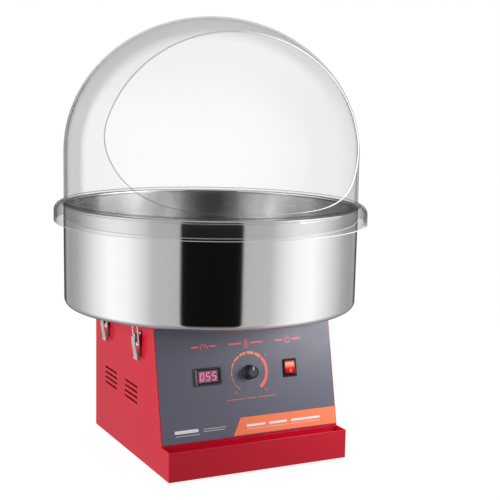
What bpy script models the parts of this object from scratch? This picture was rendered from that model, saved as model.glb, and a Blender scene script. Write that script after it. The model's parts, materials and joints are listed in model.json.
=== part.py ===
"""Cotton candy machine: painted steel base, steel bowl, spinner head, clear dome and four draw latches.

Metres, +Z up, front towards -Y. The origin is on the floor, under the axis of the bowl.
"""
import math

import bmesh
import bpy
from mathutils import Matrix, Vector

# ---------------------------------------------------------------- driving dimensions
GAP = 0.0003                          # clearance between two pieces that touch
SHEET = 0.002                         # sheet metal of the base
FOOT_LIFT = 0.004                     # the base clears the floor by this much

BASE_HALF_WIDTH = 0.165
BASE_BACK_Y = 0.1437
TRAY_FRONT_Y = -0.2105
TRAY_TOP_Z = FOOT_LIFT + 0.0495
PANEL_FOOT_Y = -0.179                 # where the sloping panel meets the tray
PANEL_LEAN = math.radians(12.17)      # the panel leans back from the vertical
DECK_TOP_Z = FOOT_LIFT + 0.2473

BOWL_RADIUS = 0.260
BOWL_BOTTOM_Z = DECK_TOP_Z + GAP
BOWL_RIM_Z = FOOT_LIFT + 0.425
BOWL_WALL = 0.0016
BOWL_BEAD = 0.006                     # width of the rolled rim
BOWL_CORNER = 0.012
COLLAR_RADIUS = 0.030                 # upturned collar round the spindle

DOME_RADIUS = 0.259
DOME_WALL = 0.003
DOME_SPRING_Z = FOOT_LIFT + 0.515     # the wall is straight up to here
DOME_RISE = 0.2355
DOME_LIP_RADIUS = 0.2765
DOME_LIP_Z = FOOT_LIFT + 0.395
DOME_SHOULDER = 0.0150
DOME_TURN = math.radians(-6.3)        # how far the mouth is turned from the front

MOUTH_DEPTH = 0.1215                  # the cut's upright plane, measured from the axis
MOUTH_BEND_Z = FOOT_LIFT + 0.5735
MOUTH_FRONT = 0.262
MOUTH_DROP = 0.1386
MOUTH_POWER = 1.84                    # roundness of the cut's lower corner

LATCH_Y = 0.078
LATCH_PIVOT = Vector((0.008, 0, 0.216))     # out from the side wall, up from the floor
BAIL_PIVOT = Vector((0.0055, 0, 0.204))
BAIL_TOP = Vector((0.009, 0, 0.2445))
WIRE_RADIUS = 0.0015
PIN_HOLE = 0.0019

METER_AT = Vector((-0.075, 0.1075, 0))      # on the panel: across, up the slope, out
KNOB_AT = Vector((0.0025, 0.1075, 0))
SWITCH_AT = Vector((0.080, 0.108, 0))
LABEL_TOP = 0.0008
ROCKER_TILT = math.radians(11)

SPINDLE_RADIUS = 0.005
SPINDLE_BORE = SPINDLE_RADIUS + GAP
MOTOR_TOP_Z = 0.1582
HEAD_Z = 0.2985                       # underside of the head's disc
HEAD_RADIUS = 0.062

FINE = 48                             # sides of the large round pieces
MEDIUM = 24
SMALL = 16


# ---------------------------------------------------------------- scene and materials
def clear_scene():
    for thing in list(bpy.data.objects):
        bpy.data.objects.remove(thing, do_unlink=True)


def new_collection(name):
    made = bpy.data.collections.new(name)
    bpy.context.scene.collection.children.link(made)
    return made


clear_scene()
PARTS = new_collection("cotton_candy_machine")
CUTTERS = new_collection("cutters")


def material(name, colour, roughness, metallic=0.0, alpha=1.0):
    made = bpy.data.materials.new(name)
    made.use_nodes = True
    shader = made.node_tree.nodes["Principled BSDF"]
    shader.inputs["Base Color"].default_value = (*colour, 1.0)
    shader.inputs["Roughness"].default_value = roughness
    shader.inputs["Metallic"].default_value = metallic
    shader.inputs["Alpha"].default_value = alpha
    return made


RED_PAINT = material("red_paint", (0.55, 0.02, 0.04), 0.30)
LABEL_GREY = material("label_grey", (0.16, 0.16, 0.20), 0.45)
STEEL = material("polished_steel", (0.62, 0.62, 0.62), 0.14, 1.0)
ZINC = material("zinc_plate", (0.60, 0.60, 0.58), 0.40, 1.0)
NICKEL = material("nickel", (0.66, 0.64, 0.60), 0.20, 1.0)
CLEAR = material("clear_plastic", (0.95, 0.97, 0.98), 0.04, 0.0, 0.25)
BLACK_PLASTIC = material("black_plastic", (0.012, 0.012, 0.014), 0.35)
RED_LENS = material("red_lens", (0.65, 0.02, 0.02), 0.15)
WINDOW_TINT = material("window_tint", (0.35, 0.16, 0.20), 0.15)
RUBBER = material("black_rubber", (0.02, 0.02, 0.02), 0.80)
CAST_ALLOY = material("cast_alloy", (0.55, 0.55, 0.56), 0.35, 1.0)
COPPER = material("copper", (0.72, 0.32, 0.16), 0.25, 1.0)
BRASS = material("brass", (0.70, 0.48, 0.16), 0.25, 1.0)
CARBON = material("carbon", (0.03, 0.03, 0.03), 0.55)
BAKELITE = material("bakelite", (0.09, 0.035, 0.02), 0.45)
MOTOR_PAINT = material("motor_paint", (0.05, 0.06, 0.07), 0.45)
BOARD_GREEN = material("board_green", (0.02, 0.16, 0.06), 0.45)
LEAD_RED = material("lead_red", (0.45, 0.03, 0.02), 0.50)
ELEMENT = material("element", (0.30, 0.27, 0.25), 0.50, 1.0)


# ---------------------------------------------------------------- modelling helpers
def place(name, mesh, finish, parent=None, location=(0, 0, 0), rotation=(0, 0, 0)):
    """Put a mesh in the parts collection as one named sub-part."""
    made = bpy.data.objects.new(name, mesh)
    PARTS.objects.link(made)
    made.parent = parent
    made.location = location
    made.rotation_euler = rotation
    if not mesh.materials:
        mesh.materials.append(finish)
    return made


def tool(mesh, parent=None, location=(0, 0, 0), rotation=(0, 0, 0)):
    """Put a mesh in the cutters collection, for a Boolean modifier to use."""
    made = bpy.data.objects.new("tool", mesh)
    CUTTERS.objects.link(made)
    made.parent = parent
    made.location = location
    made.rotation_euler = rotation
    made.hide_render = True
    made.display_type = "WIRE"
    return made


def empty(name, matrix):
    made = bpy.data.objects.new(name, None)
    PARTS.objects.link(made)
    made.matrix_world = matrix
    return made


def boolean(target, other, operation):
    modifier = target.modifiers.new(operation.lower(), "BOOLEAN")
    modifier.operation = operation
    modifier.object = other
    return target


def cut(target, *others):
    for other in others:
        boolean(target, other, "DIFFERENCE")
    return target


def join(target, *others):
    for other in others:
        boolean(target, other, "UNION")
    return target


def add_box(bm, low, high):
    low = Vector(low)
    high = Vector(high)
    matrix = Matrix.Translation((low + high) / 2) @ Matrix.Diagonal((*(high - low), 1.0))
    bmesh.ops.create_cube(bm, size=1.0, matrix=matrix)


def box_mesh(*corners):
    """One or more boxes in one mesh, each given by its low and high corner."""
    bm = bmesh.new()
    for low, high in corners:
        add_box(bm, low, high)
    mesh = bpy.data.meshes.new("box")
    bm.to_mesh(mesh)
    bm.free()
    return mesh


def smooth(mesh, angle=35):
    mesh.shade_smooth()
    mesh.set_sharp_from_angle(angle=math.radians(angle))
    return mesh


def evaluated_mesh(source):
    """Take the finished mesh of an object with modifiers, or of a curve, and remove the object."""
    bpy.context.view_layer.update()
    mesh = bpy.data.meshes.new_from_object(source.evaluated_get(bpy.context.evaluated_depsgraph_get()))
    data = source.data
    bpy.data.objects.remove(source, do_unlink=True)
    if isinstance(data, bpy.types.Mesh):
        bpy.data.meshes.remove(data)
    else:
        bpy.data.curves.remove(data)
    bm = bmesh.new()
    bm.from_mesh(mesh)
    bmesh.ops.remove_doubles(bm, verts=bm.verts, dist=0.00002)
    bm.to_mesh(mesh)
    bm.free()
    return mesh


def turned_mesh(profile, sides, closed=False):
    """Spin a profile of (radius, height) points round Z. It runs down its outer side."""
    bm = bmesh.new()
    points = [bm.verts.new((radius, 0, height)) for radius, height in profile]
    for start, end in zip(points, points[1:]):
        bm.edges.new((start, end))
    if closed:
        bm.edges.new((points[-1], points[0]))
    mesh = bpy.data.meshes.new("turned")
    bm.to_mesh(mesh)
    bm.free()
    blank = bpy.data.objects.new("blank", mesh)
    CUTTERS.objects.link(blank)
    screw = blank.modifiers.new("screw", "SCREW")
    screw.steps = sides
    screw.render_steps = sides
    screw.use_merge_vertices = True
    screw.merge_threshold = 0.00002
    return smooth(evaluated_mesh(blank))


def outline_mesh(points, thickness):
    """A flat outline in the XY plane, given thickness along Z, half to each side."""
    curve = bpy.data.curves.new("outline", "CURVE")
    curve.dimensions = "2D"
    curve.fill_mode = "BOTH"
    curve.extrude = thickness / 2
    spline = curve.splines.new("POLY")
    spline.points.add(len(points) - 1)
    for point, (across, up) in zip(spline.points, points):
        point.co = (across, up, 0, 1)
    spline.use_cyclic_u = True
    blank = bpy.data.objects.new("blank", curve)
    CUTTERS.objects.link(blank)
    return evaluated_mesh(blank)


def wire_mesh(points, radius, cyclic=False, resolution=2):
    curve = bpy.data.curves.new("wire", "CURVE")
    curve.dimensions = "3D"
    curve.bevel_depth = radius
    curve.bevel_resolution = resolution
    curve.use_fill_caps = not cyclic
    spline = curve.splines.new("POLY")
    spline.points.add(len(points) - 1)
    for point, position in zip(spline.points, points):
        point.co = (*position, 1)
    spline.use_cyclic_u = cyclic
    blank = bpy.data.objects.new("blank", curve)
    CUTTERS.objects.link(blank)
    return smooth(evaluated_mesh(blank))


def arc(centre, radius, start, end, steps, squash=1.0):
    """Points on an arc in a plane, from start to end in degrees."""
    angles = [math.radians(start + (end - start) * step / steps) for step in range(steps + 1)]
    return [(centre[0] + radius * math.cos(a), centre[1] + radius * squash * math.sin(a)) for a in angles]


def pin_mesh(radius, low, high, sides=SMALL):
    """A plain turned pin on Z from low to high."""
    return turned_mesh([(0, high), (radius, high), (radius, low), (0, low)], sides)


ALONG_Y = (math.radians(90), 0, 0)
UPRIGHT_YZ = (math.radians(90), 0, math.radians(90))    # an outline's X and Y become Y and Z


# ---------------------------------------------------------------- the sloping panel's frame
PANEL_LENGTH = (DECK_TOP_Z - TRAY_TOP_Z) / math.cos(PANEL_LEAN)
PANEL_FRAME = empty("panel_frame", Matrix.Translation((0, PANEL_FOOT_Y, TRAY_TOP_Z))
                    @ Matrix.Rotation(math.radians(90) - PANEL_LEAN, 4, "X"))
bpy.context.view_layer.update()


def slope_y(height, inset):
    """The panel plane's Y at a height, for a plane set back from the outer face by inset."""
    rise = height - TRAY_TOP_Z
    return PANEL_FOOT_Y + rise * math.tan(PANEL_LEAN) + inset / math.cos(PANEL_LEAN)


# ---------------------------------------------------------------- base: sheet metal
VENT_LENGTH = 0.060
VENT_HEIGHT = 0.003
VENT_ROWS = [FOOT_LIFT + 0.0949 + row * 0.0093 for row in range(4)]
VENT_STARTS = (0.032, -0.068)
INLET_AT = Vector((-0.090, 0, 0.062))
FUSE_AT = Vector((-0.048, 0, 0.062))


def base_housing():
    """Both side walls and the back wall, folded from one sheet, with vents and inlet holes."""
    inset = SHEET + GAP
    half = BASE_HALF_WIDTH
    inner = half - SHEET
    front_y = TRAY_FRONT_Y + inset
    plan = [
        (-half, front_y), (-half, BASE_BACK_Y), (half, BASE_BACK_Y), (half, front_y),
        (inner, front_y), (inner, BASE_BACK_Y - SHEET), (-inner, BASE_BACK_Y - SHEET), (-inner, front_y),
    ]
    height = DECK_TOP_Z - FOOT_LIFT
    housing = place("base_housing", outline_mesh(plan, height), RED_PAINT, None, (0, 0, FOOT_LIFT + height / 2))
    above = DECK_TOP_Z + 0.05
    beyond = TRAY_FRONT_Y - 0.05
    slope = [
        (beyond, TRAY_TOP_Z), (slope_y(TRAY_TOP_Z, inset), TRAY_TOP_Z), (slope_y(above, inset), above),
        (beyond, above),
    ]
    cut(housing, tool(outline_mesh(slope, 3 * half), None, (0, 0, 0), UPRIGHT_YZ))
    slots = []
    for start in VENT_STARTS:
        for row in VENT_ROWS:
            for side in (-1, 1):
                near, far = sorted((side * (half - 0.01), side * (half + 0.01)))
                low = (near, start, row - VENT_HEIGHT / 2)
                high = (far, start + VENT_LENGTH, row + VENT_HEIGHT / 2)
                slots.append((low, high))
    inlet = ((INLET_AT.x - 0.0138, BASE_BACK_Y - 0.01, INLET_AT.z - 0.0103),
             (INLET_AT.x + 0.0138, BASE_BACK_Y + 0.01, INLET_AT.z + 0.0103))
    fuse = pin_mesh(0.0066, -0.01, 0.01)
    cut(housing, tool(box_mesh(*slots, inlet)),
        tool(fuse, None, (FUSE_AT.x, BASE_BACK_Y, FUSE_AT.z), ALONG_Y))


def front_tray():
    """Open trough across the front, below the sloping panel."""
    floor_z = FOOT_LIFT + 0.004
    half = BASE_HALF_WIDTH - SHEET - GAP
    wall_top = TRAY_TOP_Z - GAP
    tray = place("front_tray", box_mesh(((-BASE_HALF_WIDTH, TRAY_FRONT_Y, FOOT_LIFT),
                                         (BASE_HALF_WIDTH, TRAY_FRONT_Y + SHEET, TRAY_TOP_Z))), RED_PAINT)
    floor = box_mesh(((-half, TRAY_FRONT_Y + SHEET / 2, floor_z), (half, PANEL_FOOT_Y + SHEET, floor_z + SHEET)))
    back = box_mesh(((-half, PANEL_FOOT_Y, floor_z), (half, PANEL_FOOT_Y + SHEET, wall_top)))
    join(tray, tool(floor), tool(back))


def front_panel():
    """Sloping control panel with cut-outs for the meter, the control shaft and the switch."""
    length = PANEL_LENGTH - 2 * GAP
    panel = place("front_panel", box_mesh(((-BASE_HALF_WIDTH, 2 * GAP, -SHEET), (BASE_HALF_WIDTH, length, 0))),
                  RED_PAINT, PANEL_FRAME)
    cut(panel, *panel_cutters())


def panel_cutters():
    meter = box_mesh((METER_AT + Vector((-0.0226, -0.0131, -0.01)), METER_AT + Vector((0.0226, 0.0131, 0.01))))
    switch = box_mesh((SWITCH_AT + Vector((-0.0113, -0.0142, -0.01)), SWITCH_AT + Vector((0.0113, 0.0142, 0.01))))
    shaft = pin_mesh(0.0040, -0.01, 0.01)
    return tool(meter, PANEL_FRAME), tool(switch, PANEL_FRAME), tool(shaft, PANEL_FRAME, KNOB_AT)


def panel_label():
    """Printed overlay that covers the panel's face."""
    edge = 0.0015
    low = (-BASE_HALF_WIDTH + edge, 0.003, GAP)
    high = (BASE_HALF_WIDTH - edge, PANEL_LENGTH - 0.002, LABEL_TOP)
    label = place("panel_label", box_mesh((low, high)), LABEL_GREY, PANEL_FRAME)
    cut(label, *panel_cutters())


def top_deck():
    """Plate that carries the bowl, with a hole for the spindle."""
    half = BASE_HALF_WIDTH - SHEET - GAP
    low = (-half, slope_y(DECK_TOP_Z, SHEET + GAP) + GAP, DECK_TOP_Z - SHEET)
    high = (half, BASE_BACK_Y - SHEET - GAP, DECK_TOP_Z)
    deck = place("top_deck", box_mesh((low, high)), RED_PAINT)
    cut(deck, tool(pin_mesh(0.032, DECK_TOP_Z - 0.01, DECK_TOP_Z + 0.01, 24)))


def bottom_plate():
    half = BASE_HALF_WIDTH - SHEET - GAP
    low = (-half, PANEL_FOOT_Y + SHEET + GAP, FOOT_LIFT + 0.002)
    high = (half, BASE_BACK_Y - SHEET - GAP, FOOT_LIFT + 0.0035)
    place("bottom_plate", box_mesh((low, high)), ZINC)


FOOT_SPOTS = ((-0.130, -0.150), (0.130, -0.150), (-0.130, 0.115), (0.130, 0.115))


def feet():
    top = FOOT_LIFT + 0.002 - GAP
    profile = [(0, top), (0.0135, top), (0.0135, 0.003), (0.0120, 0), (0.0050, 0), (0.0045, 0.0025), (0, 0.0025)]
    mesh = turned_mesh(profile, SMALL)
    for number, (across, depth) in enumerate(FOOT_SPOTS, 1):
        place(f"foot_{number}", mesh, RUBBER, None, (across, depth, 0))


# ---------------------------------------------------------------- base: controls on the panel
def meter():
    under = LABEL_TOP + GAP
    body = place("meter_body", box_mesh(((-0.0240, -0.0145, under), (0.0240, 0.0145, under + 0.0036))),
                 BLACK_PLASTIC, PANEL_FRAME, METER_AT)
    case = box_mesh(((-0.0222, -0.0127, -0.020), (0.0222, 0.0127, under + 0.001)))
    recess = box_mesh(((-0.0180, -0.0100, under + 0.0018), (0.0180, 0.0100, under + 0.01)))
    join(body, tool(case, PANEL_FRAME, METER_AT))
    cut(body, tool(recess, PANEL_FRAME, METER_AT))
    window = box_mesh(((-0.0177, -0.0097, under + 0.0021), (0.0177, 0.0097, under + 0.0030)))
    place("meter_window", window, WINDOW_TINT, PANEL_FRAME, METER_AT)


def heat_control():
    """Knob, shaft and potentiometer of the heat control, all on one axis."""
    low = LABEL_TOP + 2 * GAP
    knob = [
        (0, 0.0180), (0.0092, 0.0180), (0.0100, 0.0172), (0.0106, low + 0.004), (0.0122, low + 0.003),
        (0.0124, low), (0.0033, low), (0.0033, 0.0120), (0, 0.0120),
    ]
    place("heat_knob", turned_mesh(knob, 24), BLACK_PLASTIC, PANEL_FRAME, KNOB_AT)
    shaft = pin_mesh(0.0030, -0.0120, 0.0116)
    place("pot_shaft", shaft, ZINC, PANEL_FRAME, KNOB_AT)
    body = [(0.0037, LABEL_TOP), (0.0037, -0.0026), (0.0080, -0.0026), (0.0080, -0.0130),
            (0.0033, -0.0130), (0.0033, LABEL_TOP)]
    place("pot_body", turned_mesh(body, SMALL, closed=True), ZINC, PANEL_FRAME, KNOB_AT)


def switch():
    """Rocker switch: a fixed body with a pocket, and a rocker that tilts in it."""
    under = LABEL_TOP + GAP
    body = place("switch_body", box_mesh(((-0.01275, -0.0155, under), (0.01275, 0.0155, under + 0.0022))),
                 BLACK_PLASTIC, PANEL_FRAME, SWITCH_AT)
    case = box_mesh(((-0.0110, -0.0138, -0.018), (0.0110, 0.0138, under + 0.001)))
    pocket = box_mesh(((-0.0091, -0.0124, -0.010), (0.0091, 0.0124, under + 0.01)))
    join(body, tool(case, PANEL_FRAME, SWITCH_AT))
    cut(body, tool(pocket, PANEL_FRAME, SWITCH_AT))
    outline = [(-0.0113, 0.0040), (0, 0.0027), (0.0113, 0.0040), (0.0100, -0.0030), (0, -0.0065), (-0.0100, -0.0030)]
    hub = SWITCH_AT + Vector((0, 0, 0.0012))
    axis = empty("rocker_axis", PANEL_FRAME.matrix_world @ Matrix.Translation(hub)
                 @ Matrix.Rotation(-ROCKER_TILT, 4, "X"))
    bpy.context.view_layer.update()
    place("rocker", outline_mesh(outline, 0.0174), RED_LENS, axis, (0, 0, 0), UPRIGHT_YZ)


# ---------------------------------------------------------------- base: back and inside
def power_inlet():
    """Appliance inlet: a flange outside the back wall, a body inside it, and three blades."""
    face = BASE_BACK_Y + GAP
    inlet = place("power_inlet", box_mesh(((-0.0250, face, -0.0120), (0.0250, face + 0.0025, 0.0120))),
                  BLACK_PLASTIC, None, INLET_AT)
    case = box_mesh(((-0.0135, face - 0.026, -0.0100), (0.0135, face + 0.001, 0.0100)))
    socket = box_mesh(((-0.0118, face - 0.017, -0.0080), (0.0118, face + 0.01, 0.0080)))
    blades = [((x - 0.0007, face - 0.018, z - 0.002), (x + 0.0007, face - 0.006, z + 0.002))
              for x, z in ((-0.007, -0.002), (0, 0.002), (0.007, -0.002))]
    join(inlet, tool(case, None, INLET_AT))
    cut(inlet, tool(socket, None, INLET_AT))
    join(inlet, tool(box_mesh(*blades), None, INLET_AT))


def fuse_holder():
    face = BASE_BACK_Y + GAP
    profile = [(0, 0.0120), (0.0066, 0.0120), (0.0072, 0.0112), (0.0072, 0.0025), (0.0095, 0.0025),
               (0.0095, 0), (0.0063, 0), (0.0063, -0.0300), (0, -0.0300)]
    place("fuse_holder", turned_mesh(profile, SMALL), BLACK_PLASTIC, None, (FUSE_AT.x, face, FUSE_AT.z),
          (math.radians(-90), 0, 0))


BOARD_LOW = Vector((-0.140, -0.160, 0.0140))
BOARD_SIZE = Vector((0.090, 0.055, 0.0016))


def control_board():
    """Regulator board on four posts, with its finned heat sink and capacitor."""
    floor = FOOT_LIFT + 0.0035 + GAP
    high = BOARD_LOW + BOARD_SIZE
    board = place("control_board", box_mesh((BOARD_LOW, high)), BOARD_GREEN)
    posts = []
    for across in (BOARD_LOW.x + 0.005, high.x - 0.005):
        for depth in (BOARD_LOW.y + 0.005, high.y - 0.005):
            posts.append(((across - 0.003, depth - 0.003, floor), (across + 0.003, depth + 0.003, high.z - 0.0005)))
    sink_x = BOARD_LOW.x + 0.012
    sink_low = (sink_x, BOARD_LOW.y + 0.006, high.z - 0.0005)
    sink = box_mesh((sink_low, (sink_x + 0.036, high.y - 0.006, high.z + 0.004)))
    fins = [((sink_x + step * 0.011, BOARD_LOW.y + 0.006, high.z + 0.0035),
             (sink_x + step * 0.011 + 0.003, high.y - 0.006, high.z + 0.026)) for step in range(4)]
    capacitor = pin_mesh(0.009, high.z - 0.0005, high.z + 0.024, 12)
    join(board, tool(box_mesh(*posts)), tool(sink), tool(box_mesh(*fins)),
         tool(capacitor, None, (high.x - 0.020, BOARD_LOW.y + 0.028, 0)))


DAMPER_SPOTS = ((-0.0725, -0.040), (0.0725, -0.040), (-0.0725, 0.040), (0.0725, 0.040))


def motor_mount():
    """Hat-shaped bracket over the motor, standing on four rubber dampers."""
    plate_low = MOTOR_TOP_Z + GAP
    plate_top = plate_low + 0.0025
    flange_low = 0.0200
    bracket = place("motor_bracket", box_mesh(((-0.060, -0.055, plate_low), (0.060, 0.055, plate_top))), ZINC)
    for side in (-1, 1):
        wall = sorted((side * 0.0575, side * 0.060))
        flange = sorted((side * 0.0575, side * 0.085))
        upright = box_mesh(((wall[0], -0.055, flange_low), (wall[1], 0.055, plate_top)))
        foot = box_mesh(((flange[0], -0.055, flange_low), (flange[1], 0.055, flange_low + 0.0025)))
        join(bracket, tool(upright), tool(foot))
    cut(bracket, tool(pin_mesh(0.0160, plate_low - 0.01, plate_top + 0.01, 24)))
    floor = FOOT_LIFT + 0.0035 + GAP
    top = flange_low - GAP
    waist = (floor + top) / 2
    mesh = turned_mesh([(0, top), (0.0090, top), (0.0078, waist), (0.0090, floor), (0, floor)], 12)
    for number, (across, depth) in enumerate(DAMPER_SPOTS, 1):
        place(f"damper_{number}", mesh, RUBBER, None, (across, depth, 0))


def motor():
    profile = [
        (0, 0.0745), (SPINDLE_BORE, 0.0745), (SPINDLE_BORE, 0.1640), (0.0155, 0.1640), (0.0155, MOTOR_TOP_Z),
        (0.0400, MOTOR_TOP_Z), (0.0440, 0.1545), (0.0440, 0.0720), (0.0400, 0.0680), (0, 0.0680),
    ]
    place("motor_body", turned_mesh(profile, MEDIUM), MOTOR_PAINT)


RING_HEIGHTS = {"lower": 0.1800, "upper": 0.2020}


def brush_gear():
    """Brush holder with two carbon brushes, their brass terminals and their leads."""
    shelf = MOTOR_TOP_Z + 2 * GAP + 0.0025
    base = arc((-0.014, 0), 0.011, 90, 270, 6) + arc((0.014, 0), 0.011, -90, 90, 6)
    holder = place("brush_holder", outline_mesh(base, 0.0035), BLACK_PLASTIC, None, (0, 0.0385, shelf + 0.00175))
    block = box_mesh(((-0.009, 0.0285, shelf + 0.003), (0.009, 0.0485, 0.2120)))
    join(holder, tool(block))
    pockets = []
    for height in RING_HEIGHTS.values():
        pockets.append(((-0.0035, 0.0200, height - 0.0035), (0.0035, 0.0450, height + 0.0035)))
    cut(holder, tool(box_mesh(*pockets)))
    for screw_x in (-0.017, 0.017):
        cut(holder, tool(pin_mesh(0.0022, shelf - 0.01, shelf + 0.01, 12), None, (screw_x, 0.0385, 0)))
    for level, height in RING_HEIGHTS.items():
        brush = box_mesh(((-0.0032, 0.0203, height - 0.0032), (0.0032, 0.0440, height + 0.0032)))
        place(f"carbon_brush_{level}", brush, CARBON)
        terminal = place(f"brush_terminal_{level}",
                         box_mesh(((-0.0032, 0.0488, height - 0.006), (0.0032, 0.0496, height + 0.004))), BRASS)
        join(terminal, tool(box_mesh(((-0.0032, 0.0490, height - 0.0004), (0.0032, 0.0600, height + 0.0004)))))


def smooth_route(knots, per_span):
    """Points of a smooth curve through the knots, evenly many on each span."""
    knots = [Vector(knot) for knot in knots]
    padded = [2 * knots[0] - knots[1], *knots, 2 * knots[-1] - knots[-2]]
    points = []
    for before, start, end, after in zip(padded, padded[1:], padded[2:], padded[3:]):
        for step in range(per_span):
            t = step / per_span
            bend = (2 * before - 5 * start + 4 * end - after) * t * t
            twist = (3 * start - before - 3 * end + after) * t * t * t
            points.append((2 * start + (end - before) * t + bend + twist) / 2)
    points.append(knots[-1])
    return points


def brush_leads():
    """Two leads from the regulator board up to the brush terminals."""
    board_top = BOARD_LOW.z + BOARD_SIZE.z
    for number, (level, height) in enumerate(RING_HEIGHTS.items()):
        shift = 0.006 * number
        knots = [
            (0, 0.0604, height),
            (-0.006, 0.072, height - 0.002),
            (-0.050 - shift, 0.080 + shift, height - 0.030),
            (-0.100 - shift, 0.060 + shift, 0.080),
            (-0.105 - shift, 0.010, 0.030),
            (-0.098 - shift, -0.060, 0.026),
            (-0.060 - shift * 2, -0.1160, 0.028),
            (-0.060 - shift * 2, -0.1170, board_top + 2 * GAP),
        ]
        lead = wire_mesh(smooth_route(knots, 2), 0.0012)
        place(f"brush_lead_{level}", lead, LEAD_RED)


# ---------------------------------------------------------------- rotor: spindle, slip rings and head
def rotor():
    spindle = pin_mesh(SPINDLE_RADIUS, 0.0755, HEAD_Z + 0.0095, SMALL)
    place("spindle", spindle, STEEL)
    core = [(0.0140, 0.2120), (0.0140, 0.1720), (SPINDLE_BORE, 0.1720), (SPINDLE_BORE, 0.2120)]
    place("ring_core", turned_mesh(core, 24, closed=True), BAKELITE)
    for level, height in RING_HEIGHTS.items():
        ring = [(0.0200, height + 0.004), (0.0200, height - 0.004), (0.0143, height - 0.004), (0.0143, height + 0.004)]
        place(f"slip_ring_{level}", turned_mesh(ring, 24, closed=True), COPPER)


def head():
    """Spinner head: disc on the spindle, heating element, screen and cap."""
    deck = HEAD_Z + 0.005
    screen_top = deck + 0.0300
    disc = [
        (SPINDLE_BORE, deck), (0.0590, deck), (0.0590, deck + 0.003), (HEAD_RADIUS, deck + 0.003),
        (HEAD_RADIUS, HEAD_Z + 0.001), (HEAD_RADIUS - 0.001, HEAD_Z), (0.0120, HEAD_Z), (0.0120, HEAD_Z - 0.016),
        (SPINDLE_BORE, HEAD_Z - 0.016),
    ]
    plate = place("head_plate", turned_mesh(disc, MEDIUM, closed=True), CAST_ALLOY)
    for number in range(3):
        angle = math.radians(30 + 120 * number)
        post = pin_mesh(0.0025, deck - 0.001, screen_top, 8)
        join(plate, tool(post, None, (0.040 * math.cos(angle), 0.040 * math.sin(angle), 0)))
    nut = turned_mesh([(0.0090, deck + 0.0050), (0.0090, deck + GAP), (SPINDLE_BORE, deck + GAP),
                       (SPINDLE_BORE, deck + 0.0050)], 12, closed=True)
    place("head_nut", nut, NICKEL)
    element = [(0.0520, deck + 0.0250), (0.0520, deck + 0.0050), (0.0490, deck + 0.0050), (0.0490, deck + 0.0250)]
    place("heater_ring", turned_mesh(element, MEDIUM, closed=True), ELEMENT)
    screen = [(0.0585, screen_top), (0.0585, deck + GAP), (0.0570, deck + GAP), (0.0570, screen_top)]
    place("head_screen", turned_mesh(screen, MEDIUM, closed=True), STEEL)
    cap_low = screen_top + GAP
    cap = [
        (0.0210, cap_low + 0.0125), (0.0440, cap_low + 0.0035), (HEAD_RADIUS - 0.001, cap_low + 0.0025),
        (HEAD_RADIUS, cap_low + 0.0015), (HEAD_RADIUS, cap_low), (0.0430, cap_low), (0.0190, cap_low + 0.0100),
        (0.0180, cap_low + 0.0115),
    ]
    place("head_cap", turned_mesh(cap, MEDIUM, closed=True), CAST_ALLOY)


# ---------------------------------------------------------------- bowl
def bowl():
    outer = BOWL_RADIUS - 0.0004
    foot = outer - 0.001
    inner = outer - BOWL_WALL
    floor_top = BOWL_BOTTOM_Z + BOWL_WALL
    collar_top = BOWL_BOTTOM_Z + 0.024
    bead = BOWL_BEAD / 2
    bead_at = (BOWL_RADIUS - bead, BOWL_RIM_Z - bead)
    corner_out = arc((foot - BOWL_CORNER, BOWL_BOTTOM_Z + BOWL_CORNER), BOWL_CORNER, 0, -90, 3)
    inner_corner = BOWL_CORNER - BOWL_WALL
    corner_in = arc((foot - BOWL_CORNER, BOWL_BOTTOM_Z + BOWL_CORNER), inner_corner, -90, 0, 3)
    profile = arc(bead_at, bead, 180, -30, 5)
    profile += corner_out
    profile += [(COLLAR_RADIUS + 0.004, BOWL_BOTTOM_Z), (COLLAR_RADIUS, BOWL_BOTTOM_Z + 0.004)]
    profile += [(COLLAR_RADIUS, collar_top), (COLLAR_RADIUS + BOWL_WALL, collar_top)]
    profile += [(COLLAR_RADIUS + BOWL_WALL, floor_top + 0.003), (COLLAR_RADIUS + BOWL_WALL + 0.003, floor_top)]
    profile += corner_in
    profile += [(inner, BOWL_RIM_Z - 2 * bead)]
    place("bowl", turned_mesh(profile, FINE, closed=True), STEEL)


# ---------------------------------------------------------------- dome
def dome():
    """Clear cover: straight wall, spheroid top, shoulder over the bowl's rim and a lip."""
    seat = BOWL_RIM_Z + GAP
    steps = 9
    inner_radius = DOME_RADIUS - DOME_WALL
    inner_rise = DOME_RISE - DOME_WALL
    outer = [(DOME_RADIUS * math.sin(math.radians(90 * step / steps)),
              DOME_SPRING_Z + DOME_RISE * math.cos(math.radians(90 * step / steps))) for step in range(steps + 1)]
    inner = [(inner_radius * math.sin(math.radians(90 * step / steps)),
              DOME_SPRING_Z + inner_rise * math.cos(math.radians(90 * step / steps))) for step in range(steps, -1, -1)]
    shoulder_x = DOME_LIP_RADIUS - DOME_SHOULDER
    shoulder_z = seat + DOME_WALL - DOME_SHOULDER
    over = arc((shoulder_x, shoulder_z), DOME_SHOULDER, 90, 0, 3)
    under = arc((shoulder_x, shoulder_z), DOME_SHOULDER - DOME_WALL, 0, 90, 3)
    profile = outer + [(DOME_RADIUS, seat + DOME_WALL + 0.0015)]
    profile += over
    profile += [(DOME_LIP_RADIUS, DOME_LIP_Z), (DOME_LIP_RADIUS - DOME_WALL, DOME_LIP_Z)]
    profile += under
    profile += [(inner_radius, seat)]
    profile += inner
    cover = place("dome", turned_mesh(profile, FINE), CLEAR, None, (0, 0, 0), (0, 0, DOME_TURN))
    cut(cover, tool(mouth_mesh(), None, (0, 0, 0), (math.radians(90), 0, math.radians(90) + DOME_TURN)))


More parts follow.
